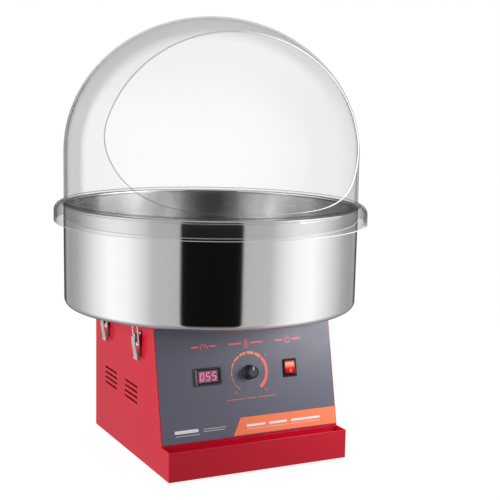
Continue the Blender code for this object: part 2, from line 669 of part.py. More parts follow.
def mouth_mesh():
    """Side profile of the cut, extruded across the dome. Its X runs backwards from the mouth."""
    top = DOME_SPRING_Z + DOME_RISE + 0.05
    reach = DOME_LIP_RADIUS + 0.05
    steps = 10
    points = [(-reach, top), (-MOUTH_DEPTH, top)]
    for step in range(steps + 1):
        angle = math.radians(90 * step / steps)
        across = math.cos(angle) ** (2 / MOUTH_POWER)
        down = math.sin(angle) ** (2 / MOUTH_POWER)
        points.append((-(MOUTH_FRONT - (MOUTH_FRONT - MOUTH_DEPTH) * across), MOUTH_BEND_Z - MOUTH_DROP * down))
    points.append((-reach, MOUTH_BEND_Z - MOUTH_DROP))
    return outline_mesh(points, 2 * reach)


# ---------------------------------------------------------------- draw latches and their hooks
LEVER_HALF = 0.0075
EAR = 0.0015
BAIL_HALF = 0.0115


def latch_plate_mesh():
    """Back plate with two ears and the pin that the lever turns on."""
    plate = bpy.data.objects.new("blank", box_mesh(((GAP, -0.0097, 0.186), (0.0018, 0.0097, 0.228))))
    CUTTERS.objects.link(plate)
    ears = []
    for side in (-1, 1):
        inner = side * (LEVER_HALF + GAP)
        outer = side * (LEVER_HALF + GAP + EAR)
        ears.append(((0.0010, min(inner, outer), LATCH_PIVOT.z - 0.005),
                     (LATCH_PIVOT.x + 0.004, max(inner, outer), LATCH_PIVOT.z + 0.004)))
    reach = LEVER_HALF + GAP + EAR / 2
    pin = tool(pin_mesh(WIRE_RADIUS, -reach, reach, 8), None, LATCH_PIVOT, ALONG_Y)
    tools = [tool(box_mesh(*ears)), pin]
    join(plate, *tools)
    return finish_shared(plate, tools)


def lever_mesh():
    """Side outline of the lever, with holes for its pin and for the bail."""
    pivot = (LATCH_PIVOT.x, LATCH_PIVOT.z)
    outline = arc(pivot, 0.0042, 200, -20, 8)
    outline += [(0.0116, 0.2060), (0.0099, 0.1960), (0.0080, 0.1860), (0.0078, 0.1830), (0.0086, 0.1812)]
    outline += [(0.0083, 0.1790), (0.0066, 0.1778), (0.0048, 0.1786), (0.0045, 0.1806), (0.0056, 0.1830)]
    outline += [(0.0058, 0.1860), (0.0062, 0.1930), (0.0040, 0.1972), (0.0026, 0.2000), (0.0023, 0.2060)]
    lever = bpy.data.objects.new("blank", outline_mesh(outline, 2 * LEVER_HALF))
    lever.rotation_euler = ALONG_Y
    CUTTERS.objects.link(lever)
    bpy.context.view_layer.update()
    lever.data.transform(lever.matrix_world)
    lever.rotation_euler = (0, 0, 0)
    tools = [tool(pin_mesh(PIN_HOLE, -0.02, 0.02, 12), None, spot, ALONG_Y) for spot in (LATCH_PIVOT, BAIL_PIVOT)]
    cut(lever, *tools)
    return finish_shared(lever, tools)


def finish_shared(blank, tools):
    mesh = evaluated_mesh(blank)
    for used in tools:
        bpy.data.objects.remove(used, do_unlink=True)
    return mesh


def bail_mesh():
    """Closed wire loop from the lever up to the hook on the bowl."""
    bend = 0.003
    rise = BAIL_TOP - BAIL_PIVOT
    length = rise.length
    half = BAIL_HALF - bend
    loop = arc((-half, length - bend), bend, 180, 90, 2) + arc((half, length - bend), bend, 90, 0, 2)
    loop += arc((half, bend), bend, 0, -90, 2) + arc((-half, bend), bend, -90, -180, 2)
    points = [BAIL_PIVOT + rise.normalized() * up + Vector((0, across, 0)) for across, up in loop]
    return wire_mesh(points, WIRE_RADIUS, cyclic=True)


def hook_mesh():
    """Strike under the bowl: a leg against the bottom, a web, and an upturned lip."""
    top = BOWL_BOTTOM_Z - GAP
    outline = [
        (0.0005, top), (0.0057, top), (0.0057, 0.2424), (0.0114, 0.2424), (0.0114, 0.2452), (0.0128, 0.2452),
        (0.0128, 0.2410), (0.0043, 0.2410), (0.0043, top - 0.0014), (0.0005, top - 0.0014),
    ]
    mesh = outline_mesh(outline, 0.016)
    mesh.transform(Matrix.Rotation(math.radians(90), 4, "X"))
    return mesh


def latches():
    shared = {"plate": latch_plate_mesh(), "lever": lever_mesh(), "bail": bail_mesh()}
    hook = hook_mesh()
    number = 0
    for side, turn in ((-1, math.radians(180)), (1, 0)):
        for depth in (-LATCH_Y, LATCH_Y):
            number += 1
            frame = empty(f"latch_frame_{number}", Matrix.Translation((side * BASE_HALF_WIDTH, depth, 0))
                          @ Matrix.Rotation(turn, 4, "Z"))
            for piece, mesh in shared.items():
                place(f"latch_{piece}_{number}", mesh, NICKEL, frame)
            place(f"bowl_hook_{number}", hook, NICKEL, frame)


base_housing()
front_tray()
front_panel()
panel_label()
top_deck()
bottom_plate()
feet()
meter()
heat_control()
switch()
power_inlet()
fuse_holder()
control_board()
motor_mount()
motor()
brush_gear()
brush_leads()
rotor()
head()
bowl()
dome()
latches()
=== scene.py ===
"""Looks of the cotton candy machine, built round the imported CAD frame. Metres, +Z up, front towards -Y."""

import json
import math

import bmesh
import bpy
from mathutils import Matrix, Vector

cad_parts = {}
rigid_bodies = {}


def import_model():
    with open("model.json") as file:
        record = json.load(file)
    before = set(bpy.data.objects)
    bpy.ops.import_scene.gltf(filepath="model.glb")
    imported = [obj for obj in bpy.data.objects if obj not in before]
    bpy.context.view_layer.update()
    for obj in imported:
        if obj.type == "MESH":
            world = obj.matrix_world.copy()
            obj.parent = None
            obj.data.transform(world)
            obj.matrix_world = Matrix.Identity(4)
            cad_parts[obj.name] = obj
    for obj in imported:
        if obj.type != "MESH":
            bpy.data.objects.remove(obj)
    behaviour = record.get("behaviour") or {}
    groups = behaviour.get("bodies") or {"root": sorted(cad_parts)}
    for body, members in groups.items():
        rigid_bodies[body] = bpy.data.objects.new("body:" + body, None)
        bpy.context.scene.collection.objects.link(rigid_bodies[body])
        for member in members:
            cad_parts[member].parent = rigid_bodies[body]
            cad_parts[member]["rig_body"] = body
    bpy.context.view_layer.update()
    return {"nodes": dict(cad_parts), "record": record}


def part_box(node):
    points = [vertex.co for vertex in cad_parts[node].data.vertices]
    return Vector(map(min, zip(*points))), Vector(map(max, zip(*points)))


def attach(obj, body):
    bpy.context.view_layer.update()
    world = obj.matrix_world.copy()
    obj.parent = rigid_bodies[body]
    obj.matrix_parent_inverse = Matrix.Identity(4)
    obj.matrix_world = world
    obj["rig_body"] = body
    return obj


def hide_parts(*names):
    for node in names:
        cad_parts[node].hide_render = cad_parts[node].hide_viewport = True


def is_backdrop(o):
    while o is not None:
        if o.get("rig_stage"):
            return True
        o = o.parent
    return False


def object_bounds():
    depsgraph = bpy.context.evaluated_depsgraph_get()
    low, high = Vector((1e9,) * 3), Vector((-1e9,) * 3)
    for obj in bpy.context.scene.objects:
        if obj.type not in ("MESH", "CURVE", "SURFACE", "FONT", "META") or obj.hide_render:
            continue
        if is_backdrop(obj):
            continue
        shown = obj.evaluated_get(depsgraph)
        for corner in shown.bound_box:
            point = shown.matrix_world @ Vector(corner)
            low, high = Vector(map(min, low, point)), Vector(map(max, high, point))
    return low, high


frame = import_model()

NODES = frame["nodes"]
SLOT_OF = {part["node"]: part["material_slot"] for part in frame["record"]["subparts"]}
BODY_OF = {name: node["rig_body"] for name, node in NODES.items()}

MM = 0.001
TAU = 2 * math.pi


# ---------------------------------------------------------------- node graphs
class Graph:
    """Adds nodes to one node tree and links them."""

    def __init__(self, tree):
        self.tree = tree

    def add(self, kind, inputs=None, **settings):
        node = self.tree.nodes.new(kind)
        for key, value in settings.items():
            setattr(node, key, value)
        for key, value in (inputs or {}).items():
            if isinstance(value, bpy.types.NodeSocket):
                self.tree.links.new(value, node.inputs[key])
            else:
                node.inputs[key].default_value = value
        return node

    def math(self, operation, a, b=0.0):
        return self.add("ShaderNodeMath", {0: a, 1: b}, operation=operation).outputs[0]

    def noise(self, vector, scale, detail=3.0, roughness=0.5):
        inputs = {"Vector": vector, "Scale": scale, "Detail": detail, "Roughness": roughness}
        return self.add("ShaderNodeTexNoise", inputs).outputs["Fac"]

    def ramp(self, factor, stops, interpolation="LINEAR"):
        """A colour ramp from (position, colour or grey) stops."""
        node = self.add("ShaderNodeValToRGB", {"Fac": factor})
        ramp = node.color_ramp
        ramp.interpolation = interpolation
        while len(ramp.elements) < len(stops):
            ramp.elements.new(1.0)
        for element, (position, colour) in zip(ramp.elements, stops):
            element.position = position
            element.color = (*colour, 1.0) if isinstance(colour, tuple) else (colour, colour, colour, 1.0)
        return node.outputs["Color"]

    def spread(self, factor, low, high):
        """Map the middle of a noise, 0.3 to 0.7, to low and high."""
        inputs = {"Value": factor, "From Min": 0.3, "From Max": 0.7, "To Min": low, "To Max": high}
        return self.add("ShaderNodeMapRange", inputs).outputs["Result"]

    def place(self):
        return self.add("ShaderNodeTexCoord").outputs["Object"]

    def turned(self, pitch):
        """Coordinates that vary quickly across a turned surface and slowly along its lines."""
        xyz = self.add("ShaderNodeSeparateXYZ", {"Vector": self.place()}).outputs
        squares = self.math("ADD", self.math("MULTIPLY", xyz[0], xyz[0]), self.math("MULTIPLY", xyz[1], xyz[1]))
        along = self.math("ADD", self.math("SQRT", squares), xyz[2])
        lines = self.math("DIVIDE", along, pitch)
        inputs = {0: self.math("MULTIPLY", xyz[0], 3.0), 1: self.math("MULTIPLY", xyz[1], 3.0), 2: lines}
        return self.add("ShaderNodeCombineXYZ", inputs).outputs[0]

    def stretched(self, scale):
        return self.add("ShaderNodeMapping", {"Vector": self.place(), "Scale": scale}).outputs[0]

    def bump(self, height, strength, distance, normal=None):
        inputs = {"Height": height, "Strength": strength, "Distance": distance}
        if normal is not None:
            inputs["Normal"] = normal
        return self.add("ShaderNodeBump", inputs).outputs["Normal"]


def tinted(colour, factor):
    return tuple(min(1.0, channel * factor) for channel in colour)


def new_material(name):
    made = bpy.data.materials.new(name)
    made.use_nodes = True
    return made, Graph(made.node_tree), made.node_tree.nodes["Principled BSDF"]


def coated(name, colour, roughness, grain, depth, mottle=0.04, **sockets):
    """Paint, plastic or rubber: a fine moulded or sprayed grain and a slightly uneven colour."""
    made, graph, shader = new_material(name)
    shader.inputs["Metallic"].default_value = sockets.pop("Metallic", 0.0)
    for key, value in sockets.items():
        shader.inputs[key].default_value = value
    cloud = graph.noise(graph.place(), 14.0)
    ramp = graph.ramp(cloud, [(0.3, tinted(colour, 1 - mottle)), (0.7, tinted(colour, 1 + mottle))])
    graph.tree.links.new(ramp, shader.inputs["Base Color"])
    fine = graph.noise(graph.place(), 1 / grain, 2.0)
    graph.tree.links.new(graph.spread(graph.noise(graph.place(), 40.0), roughness * 0.9, roughness * 1.1),
                         shader.inputs["Roughness"])
    graph.tree.links.new(graph.bump(fine, 0.35, depth), shader.inputs["Normal"])
    return made


def turned_metal(name, colour, roughness, pitch, depth, stretch=0.0):
    """Spun or lathe-turned metal, with fine lines round the axis. stretch draws its reflections out across them."""
    made, graph, shader = new_material(name)
    shader.inputs["Metallic"].default_value = 1.0
    lines = graph.noise(graph.turned(pitch), 1.0, 3.0, 0.6)
    wide = graph.noise(graph.turned(pitch * 9), 1.0, 2.0)
    tint = graph.ramp(wide, [(0.3, tinted(colour, 0.994)), (0.7, tinted(colour, 1.006))])
    graph.tree.links.new(tint, shader.inputs["Base Color"])
    graph.tree.links.new(graph.spread(lines, roughness * 0.92, roughness * 1.1), shader.inputs["Roughness"])
    graph.tree.links.new(graph.bump(lines, 0.3, depth), shader.inputs["Normal"])
    if stretch:
        shader.inputs["Anisotropic"].default_value = stretch
        shader.inputs["Anisotropic Rotation"].default_value = 0.25
        tangent = graph.add("ShaderNodeTangent", direction_type="RADIAL", axis="Z").outputs[0]
        graph.tree.links.new(tangent, shader.inputs["Tangent"])
    return made


# Painted reflections on the brushed inside of the bowl: degrees round from its far side, and the tone there.
PAINTED_REFLECTION_BANDS = [(-180, 0.94), (-100, 0.97), (-60, 1.0), (-34, 0.96), (-23, 0.76), (-15, 0.48), (0, 0.38), (11, 0.50),
         (20, 0.60), (30, 0.84), (41, 0.60), (52, 0.52), (62, 0.92), (110, 0.95), (180, 0.94)]


def brushed_inside():
    """The inside of the bowl: brushed round, with painted reflections in lighter and darker bands round it, so its tone
    changes from band to band.
    """
    made, graph, shader = new_material("brushed_steel")
    shader.inputs["Metallic"].default_value = 1.0
    place = graph.place()
    right, far = (graph.add("ShaderNodeVectorMath", {0: place, 1: way}, operation="DOT_PRODUCT").outputs["Value"]
                  for way in ((0.893, -0.450, 0.0), (0.450, 0.893, 0.0)))
    around = graph.math("DIVIDE", graph.math("ARCTAN2", right, far), TAU)
    wander = graph.spread(graph.noise(place, 22.0, 2.0), -0.006, 0.006)
    # Painted reflection: the tone is set by the angle round the bowl's axis.
    painted_reflection = graph.ramp(graph.math("ADD", graph.math("ADD", around, 0.5), wander),
                        [(angle / 360 + 0.5, tone) for angle, tone in PAINTED_REFLECTION_BANDS], "EASE")
    # Near the bowl's floor the painted reflection gives way to an even light tone.
    height = graph.add("ShaderNodeSeparateXYZ", {"Vector": place}).outputs["Z"]
    up = graph.add("ShaderNodeMapRange", {"Value": height, "From Min": 0.27, "From Max": 0.34}).outputs["Result"]
    tone = graph.add("ShaderNodeMix", {"Factor": up, 6: (0.90, 0.90, 0.89, 1.0), 7: painted_reflection}, data_type="RGBA")
    graph.tree.links.new(tone.outputs[2], shader.inputs["Base Color"])
    lines = graph.noise(graph.turned(0.6 * MM), 1.0, 3.0, 0.6)
    graph.tree.links.new(graph.spread(lines, 0.19, 0.24), shader.inputs["Roughness"])
    graph.tree.links.new(graph.bump(lines, 0.3, 0.0000008), shader.inputs["Normal"])
    shader.inputs["Anisotropic"].default_value = 1.0
    shader.inputs["Anisotropic Rotation"].default_value = 0.25
    tangent = graph.add("ShaderNodeTangent", direction_type="RADIAL", axis="Z").outputs[0]
    graph.tree.links.new(tangent, shader.inputs["Tangent"])
    return made


def sheet_metal(name, colour, roughness, stretch, depth, mottle=0.05, metallic=1.0):
    """Plated or rolled metal, with marks drawn out along one direction."""
    made, graph, shader = new_material(name)
    shader.inputs["Metallic"].default_value = metallic
    marks = graph.noise(graph.stretched(stretch), 1.0, 4.0, 0.6)
    cloud = graph.noise(graph.place(), 90.0)
    tint = graph.ramp(cloud, [(0.3, tinted(colour, 1 - mottle)), (0.7, tinted(colour, 1 + mottle))])
    graph.tree.links.new(tint, shader.inputs["Base Color"])
    graph.tree.links.new(graph.spread(marks, roughness * 0.75, roughness * 1.3), shader.inputs["Roughness"])
    graph.tree.links.new(graph.bump(marks, 0.25, depth), shader.inputs["Normal"])
    return made


def lit(name, colour, strength, roughness=0.3):
    """Plastic or ink with an even glow of its own colour."""
    made, graph, shader = new_material(name)
    cloud = graph.noise(graph.place(), 300.0)
    ramp = graph.ramp(cloud, [(0.3, tinted(colour, 0.96)), (0.7, tinted(colour, 1.04))])
    graph.tree.links.new(ramp, shader.inputs["Base Color"])
    shader.inputs["Roughness"].default_value = roughness
    shader.inputs["Emission Color"].default_value = (*colour, 1.0)
    shader.inputs["Emission Strength"].default_value = strength
    return made


def clear_material(name, shades, alphas, alphas_left_painted_light=None, alphas_top_painted_shade=None):
    """Clear plastic: nearly invisible face on, grey and reflecting at a slant, and dark along its outline. The grey
    tone is painted reflection and the dark outline is painted shade, both set by how squarely the surface faces the
    view.

    alphas_left_painted_light takes over from alphas on the machine's left side, painting a lighter band there with a
    darker outline: painted highlight and painted shade. alphas_top_painted_shade takes over in the dome's crown,
    painting it darker: painted shade.
    """
    made, graph, shader = new_material(name)
    shader.inputs["Roughness"].default_value = 0.03
    shader.inputs["IOR"].default_value = 1.49
    facing = graph.add("ShaderNodeLayerWeight", {"Blend": 0.5}).outputs["Facing"]
    cloud = graph.ramp(graph.noise(graph.place(), 6.0), [(0.3, 0.95), (0.7, 1.0)])
    inputs = {"Factor": 1.0, 6: graph.ramp(facing, shades), 7: cloud}
    tint = graph.add("ShaderNodeMix", inputs, data_type="RGBA", blend_type="MULTIPLY").outputs[2]
    graph.tree.links.new(tint, shader.inputs["Base Color"])
    alpha = graph.ramp(facing, alphas)
    # Painted highlight and painted shade on the machine's left side of the dome.
    if alphas_left_painted_light:
        inputs = {0: graph.place(), 1: (-0.893, 0.450, 0.0)}
        lean = graph.add("ShaderNodeVectorMath", inputs, operation="DOT_PRODUCT").outputs["Value"]
        left = graph.add("ShaderNodeMapRange", {"Value": lean, "From Min": 0.04, "From Max": 0.14}).outputs["Result"]
        inputs = {"Factor": left, 6: alpha, 7: graph.ramp(facing, alphas_left_painted_light)}
        alpha = graph.add("ShaderNodeMix", inputs, data_type="RGBA").outputs[2]
    # Painted shade on the dome's crown.
    if alphas_top_painted_shade:
        height = graph.add("ShaderNodeSeparateXYZ", {"Vector": graph.place()}).outputs["Z"]
        crown = graph.add("ShaderNodeMapRange", {"Value": height, "From Min": 0.59, "From Max": 0.68}).outputs["Result"]
        inputs = {"Factor": crown, 6: alpha, 7: graph.ramp(facing, alphas_top_painted_shade)}
        alpha = graph.add("ShaderNodeMix", inputs, data_type="RGBA").outputs[2]
    graph.tree.links.new(alpha, shader.inputs["Alpha"])
    return made


def sawn_edge_material():
    """The cut rim of the dome with painted light: a painted glow and highlight along its right side, fading to a
    painted dark line of shade on its left, and a painted light line along the lip's bottom edge.
    """
    made, graph, shader = new_material("clear_edge_painted_light")
    xyz = graph.add("ShaderNodeSeparateXYZ", {"Vector": graph.place()}).outputs
    across = graph.math("ADD", xyz["X"], graph.math("MULTIPLY", graph.noise(graph.place(), 9.0), 0.03))
    share = graph.add("ShaderNodeMapRange", {"Value": across, "From Min": -0.10, "From Max": 0.12}).outputs["Result"]
    # Painted highlight along the lip's bottom edge, below this height.
    brim_highlight = graph.math("MULTIPLY", graph.math("LESS_THAN", xyz["Z"], 0.405), 0.52)
    share = graph.math("MAXIMUM", share, brim_highlight)
    tone = graph.ramp(share, [(0.0, 0.04), (0.45, 0.32), (0.8, 0.95), (1.0, 1.0)])
    graph.tree.links.new(tone, shader.inputs["Base Color"])
    # The emission is a painted glow, since the rim is no lamp.
    graph.tree.links.new(tone, shader.inputs["Emission Color"])
    shader.inputs["Emission Strength"].default_value = 0.75
    shader.inputs["Roughness"].default_value = 0.25
    graph.tree.links.new(graph.ramp(share, [(0.0, 0.52), (0.45, 0.60), (1.0, 0.92)]), shader.inputs["Alpha"])
    return made


def rocker_material():
    """Red lens, lit from behind its upper half."""
    made, graph, shader = new_material("red_lens")
    height = graph.add("ShaderNodeSeparateXYZ", {"Vector": graph.place()}).outputs["Z"]
    low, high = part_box("rocker")
    share = graph.add("ShaderNodeMapRange", {"Value": height, "From Min": low.z, "From Max": high.z}).outputs[0]
    glow = graph.ramp(share, [(0.0, (0.05, 0.0, 0.0)), (0.20, (0.24, 0.0, 0.0)), (0.36, (0.62, 0.001, 0.001)),
                              (0.48, (0.90, 0.03, 0.012)), (0.60, (1.0, 0.22, 0.12)), (0.78, (1.0, 0.52, 0.36)),
                              (1.0, (0.62, 0.06, 0.05))])
    cloud = graph.noise(graph.place(), 500.0)
    ramp = graph.ramp(cloud, [(0.3, (0.40, 0.004, 0.004)), (0.7, (0.46, 0.006, 0.005))])
    graph.tree.links.new(ramp, shader.inputs["Base Color"])
    graph.tree.links.new(glow, shader.inputs["Emission Color"])
    shader.inputs["Emission Strength"].default_value = 0.9
    shader.inputs["Roughness"].default_value = 0.18
    shader.inputs["Specular IOR Level"].default_value = 0.22
    return made


MATERIAL = {
    "red_paint": coated("red_paint", (0.57, 0.006, 0.026), 0.22, 2.2 * MM, 0.00003, 0.02,
                        **{"Specular IOR Level": 0.28}),
    "label": coated("label_film", (0.118, 0.118, 0.160), 0.36, 0.35 * MM, 0.00001, 0.02,
                    **{"Specular IOR Level": 0.3}),
    "steel": turned_metal("spun_steel", (0.803, 0.796, 0.799), 0.075, 0.6 * MM, 0.0000006),
    "clear_plastic": clear_material(
        "clear_plastic", [(0.0, 0.34), (0.90, 0.32), (0.97, 0.06), (1.0, 0.03)],
        [(0.0, 0.02), (0.13, 0.04), (0.30, 0.086), (0.41, 0.092), (0.50, 0.092), (0.58, 0.108), (0.66, 0.130),
         (0.70, 0.14), (0.77, 0.15), (0.83, 0.21), (0.88, 0.32), (0.94, 0.55), (0.98, 0.90), (1.0, 0.95)],
        [(0.0, 0.015), (0.30, 0.032), (0.48, 0.034), (0.52, 0.06), (0.56, 0.135), (0.70, 0.14), (0.77, 0.16),
         (0.82, 0.25), (0.88, 0.38), (0.94, 0.60), (0.98, 0.90), (1.0, 0.95)],
        [(0.0, 0.018), (0.30, 0.060), (0.48, 0.062), (0.54, 0.10), (0.62, 0.175), (0.76, 0.185), (0.86, 0.19),
         (0.93, 0.26), (0.98, 0.50), (1.0, 0.75)]),
    "nickel": sheet_metal("nickel_plate", (0.90, 0.885, 0.87), 0.17, (900, 900, 120), 0.00001, metallic=0.82),
    "zinc": sheet_metal("zinc_plate", (0.62, 0.62, 0.59), 0.36, (400, 60, 400), 0.00002, 0.10),
    "black_plastic": coated("black_plastic", (0.012, 0.012, 0.014), 0.34, 0.5 * MM, 0.00002, 0.10),
    "knob_plastic": coated("knob_plastic", (0.016, 0.017, 0.020), 0.42, 0.4 * MM, 0.00002, 0.10),
    "red_lens": rocker_material(),
    "meter_tint": coated("meter_tint", (0.46, 0.27, 0.37), 0.22, 2 * MM, 0.00001),
    "rubber": coated("black_rubber", (0.020, 0.020, 0.020), 0.75, 0.6 * MM, 0.00005, 0.15),
    "head_alloy": turned_metal("turned_alloy", (0.66, 0.66, 0.67), 0.26, 0.8 * MM, 0.00001),
    "screen_steel": sheet_metal("screen_steel", (0.60, 0.59, 0.56), 0.28, (500, 500, 300), 0.00001, 0.08),
    "element": sheet_metal("element", (0.20, 0.16, 0.14), 0.50, (300, 300, 900), 0.00003, 0.25),
    "copper": turned_metal("turned_copper", (0.80, 0.38, 0.22), 0.24, 0.5 * MM, 0.00001),
    "brass": sheet_metal("brass", (0.78, 0.56, 0.24), 0.28, (300, 900, 900), 0.00001, 0.08),
    "carbon": coated("carbon", (0.030, 0.030, 0.032), 0.55, 0.2 * MM, 0.00003, 0.20),
    "bakelite": coated("bakelite", (0.085, 0.030, 0.016), 0.38, 0.8 * MM, 0.00002, 0.15),
    "motor_paint": coated("motor_paint", (0.040, 0.046, 0.052), 0.42, 1.5 * MM, 0.00004, 0.08),
    "board": coated("board_green", (0.012, 0.120, 0.045), 0.36, 1.2 * MM, 0.00002, 0.12),
    "lead": coated("lead_red", (0.42, 0.020, 0.015), 0.45, 0.6 * MM, 0.00002, 0.08),
}
CLEAR_EDGE_PAINTED_LIGHT = sawn_edge_material()
STEEL_INSIDE = brushed_inside()
# Dark metal for the latch plates: painted shade, standing for the shadow behind the levers.
LATCH_PLATE_PAINTED_SHADE = sheet_metal("latch_plate_painted_shade", (0.17, 0.15, 0.15), 0.34, (900, 900, 120), 0.00001)
# Painted shade: a dark line along the fold between the dome and its shoulder, and the lip's skirt painted darker and
# less clear at a slant.
CLEAR_FOLD_PAINTED_SHADE = clear_material("clear_fold_painted_shade", [(0.0, 0.10), (1.0, 0.06)], [(0.0, 0.40), (1.0, 0.60)])
CLEAR_LIP = clear_material("clear_lip", [(0.0, 0.42), (0.60, 0.36), (0.84, 0.12), (1.0, 0.03)],
                           [(0.0, 0.03), (0.30, 0.07), (0.60, 0.16), (0.82, 0.34), (0.90, 0.75), (1.0, 0.95)])
ORANGE_INK = coated("orange_ink", (0.93, 0.20, 0.075), 0.45, 0.3 * MM, 0.00001, 0.02)
CORAL_INK = coated("coral_ink", (0.86, 0.12, 0.11), 0.45, 0.3 * MM, 0.00001, 0.02)
WHITE_INK = coated("white_ink", (0.80, 0.78, 0.78), 0.45, 0.3 * MM, 0.00001, 0.02)
# The knob pointer's blue ink glows: a painted glow, since the ink is no lamp.
BLUE_INK_PAINTED_GLOW = lit("blue_ink_painted_glow", (0.16, 0.55, 0.80), 0.45, 0.4)
DIGIT_GLOW = lit("digit_glow", (1.0, 0.14, 0.30), 0.62)
# The knob's face cap is coloured lighter than its body to stand for light falling on its top: painted highlight.
KNOB_FACE_PAINTED_LIGHT = coated("knob_face", (0.150, 0.160, 0.185), 0.38, 0.3 * MM, 0.00001, 0.06)
MARK_GLOW = lit("mark_glow", (1.0, 0.42, 0.36), 0.36)


# ---------------------------------------------------------------- meshes and pieces
def mesh_from(vertices, faces, angle=35, marks=None):
    """A closed mesh with smooth shading. marks gives each face its material's number."""
    mesh = bpy.data.meshes.new("piece")
    mesh.from_pydata([tuple(v) for v in vertices], [], faces)
    if marks:
        mesh.polygons.foreach_set("material_index", marks)
    bm = bmesh.new()
    bm.from_mesh(mesh)
    bmesh.ops.remove_doubles(bm, verts=bm.verts, dist=1e-6)
    bmesh.ops.recalc_face_normals(bm, faces=bm.faces)
    bm.to_mesh(mesh)
    bm.free()
    mesh.shade_smooth()
    mesh.set_sharp_from_angle(angle=math.radians(angle))
    return mesh


def piece(name, mesh, finish, body, replaces=()):
    """A shown piece in the row frame, riding on a CAD body."""
    made = bpy.data.objects.new(name, mesh)
    bpy.context.scene.collection.objects.link(made)
    for each in finish if isinstance(finish, tuple) else (finish,):
        mesh.materials.append(each)
    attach(made, body)
    if replaces:
        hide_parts(*replaces)
    return made


def instead_of(node, mesh, name=None):
    """A finer piece that stands for one CAD node, with its body and its material."""
    slot = SLOT_OF[node]
    return piece(name or node + "_fine", mesh, MATERIAL[slot], BODY_OF[node], (node,))


def softened(node, width, segments=2):
    """The CAD node with its flat faces joined up and its sharp edges rounded."""
    bm = bmesh.new()
    bm.from_mesh(NODES[node].data)
    bmesh.ops.remove_doubles(bm, verts=bm.verts, dist=1e-6)
    bmesh.ops.dissolve_limit(bm, angle_limit=math.radians(0.5), verts=bm.verts, edges=bm.edges)
    sharp = [edge for edge in bm.edges if edge.is_manifold and edge.calc_face_angle() > math.radians(30)]
    bmesh.ops.bevel(bm, geom=sharp, offset=width, segments=segments, profile=0.5, affect="EDGES",
                    clamp_overlap=True)
    mesh = bpy.data.meshes.new(node + "_fine")
    bm.to_mesh(mesh)
    bm.free()
    mesh.shade_smooth()
    made = instead_of(node, mesh)
    weighted = made.modifiers.new("weighted", "WEIGHTED_NORMAL")
    weighted.keep_sharp = True
    return made


def grid_faces(rows, columns, wrap_rows=False, wrap_columns=False, start=0):
    faces = []
    for row in range(rows if wrap_rows else rows - 1):
        for column in range(columns if wrap_columns else columns - 1):
            right = (column + 1) % columns
            below = (row + 1) % rows
            faces.append((start + row * columns + column, start + row * columns + right,
                          start + below * columns + right, start + below * columns + column))
    return faces


def lathe(profile, sides, closed=False, flute=None, angle=35, marks=None):
    """Turn (radius, height) points round Z. flute(angle, radius, height) gives another radius."""
    vertices = []
    for radius, height in profile:
        for side in range(sides):
            turn = TAU * side / sides
            reach = flute(turn, radius, height) if flute else radius
            vertices.append((reach * math.cos(turn), reach * math.sin(turn), height))
    return mesh_from(vertices, grid_faces(len(profile), sides, closed, True), angle, marks)


def arc(centre, radius, start, end, steps):
    angles = [math.radians(start + (end - start) * step / steps) for step in range(steps + 1)]
    return [(centre[0] + radius * math.cos(a), centre[1] + radius * math.sin(a)) for a in angles]


def rounded(points, radius, steps=4, closed=True):
    """Round the corners of a flat outline."""
    result = []
    count = len(points)
    for index, point in enumerate(points):
        here = Vector(point)
        if not closed and index in (0, count - 1):
            result.append(tuple(here))
            continue
        before = Vector(points[index - 1]) - here
        after = Vector(points[(index + 1) % count]) - here
        reach = min(radius, before.length / 2.01, after.length / 2.01)
        first = here + before.normalized() * reach
        last = here + after.normalized() * reach
        for step in range(steps + 1):
            t = step / steps
            result.append(tuple(first * (1 - t) ** 2 + here * 2 * t * (1 - t) + last * t ** 2))
    return result


def tube(points, radius, cyclic=False, sides=12):
    """A round wire along a smooth route."""
    points = [Vector(p) for p in points]
    count = len(points)
    vertices = []
    previous = None
    for index, point in enumerate(points):
        ahead = points[(index + 1) % count] if cyclic or index < count - 1 else point
        behind = points[index - 1] if cyclic or index else point
        direction = (ahead - behind).normalized()
        if previous is None:
            previous = direction.orthogonal().normalized()
        across = (previous - direction * previous.dot(direction)).normalized()
        up = direction.cross(across)
        previous = across
        for side in range(sides):
            turn = TAU * side / sides
            vertices.append(point + (across * math.cos(turn) + up * math.sin(turn)) * radius)
    faces = grid_faces(count, sides, cyclic, True)
    if not cyclic:
        faces += [tuple(range(sides)), tuple(range((count - 1) * sides, count * sides))]
    return mesh_from(vertices, faces)


def slab(outline, low, high, matrix=None, edge=0.0, steps=2):
    """An outline in XY from low to high, with its top edge rounded by edge."""
    levels = [(low, 0.0)]
    if edge:
        levels += [(high - edge + edge * math.sin(math.radians(90 * step / steps)),
                    edge - edge * math.cos(math.radians(90 * step / steps))) for step in range(steps + 1)]
    else:
        levels.append((high, 0.0))
    count = len(outline)
    area = sum(outline[i - 1][0] * outline[i][1] - outline[i][0] * outline[i - 1][1] for i in range(count))
    sign = 1 if area > 0 else -1
    vertices = []
    for height, inset in levels:
        for index, point in enumerate(outline):
            before = (Vector(point) - Vector(outline[index - 1])).normalized()
            after = (Vector(outline[(index + 1) % count]) - Vector(point)).normalized()
            inward = Vector((-(before.y + after.y), before.x + after.x)).normalized() * sign
            spot = Vector(point) + inward * inset
            vertices.append((spot.x, spot.y, height))
    faces = grid_faces(len(levels), count, False, True)
    faces += [tuple(range(count)), tuple(range((len(levels) - 1) * count, len(levels) * count))]
    mesh = mesh_from(vertices, faces)
    if matrix is not None:
        mesh.transform(matrix)
    return mesh


def merged(meshes):
    """One mesh from several."""
    bm = bmesh.new()
    for mesh in meshes:
        bm.from_mesh(mesh)
    made = bpy.data.meshes.new("merged")
    bm.to_mesh(made)
    bm.free()
    made.shade_smooth()
    made.set_sharp_from_angle(angle=math.radians(35))
    return made


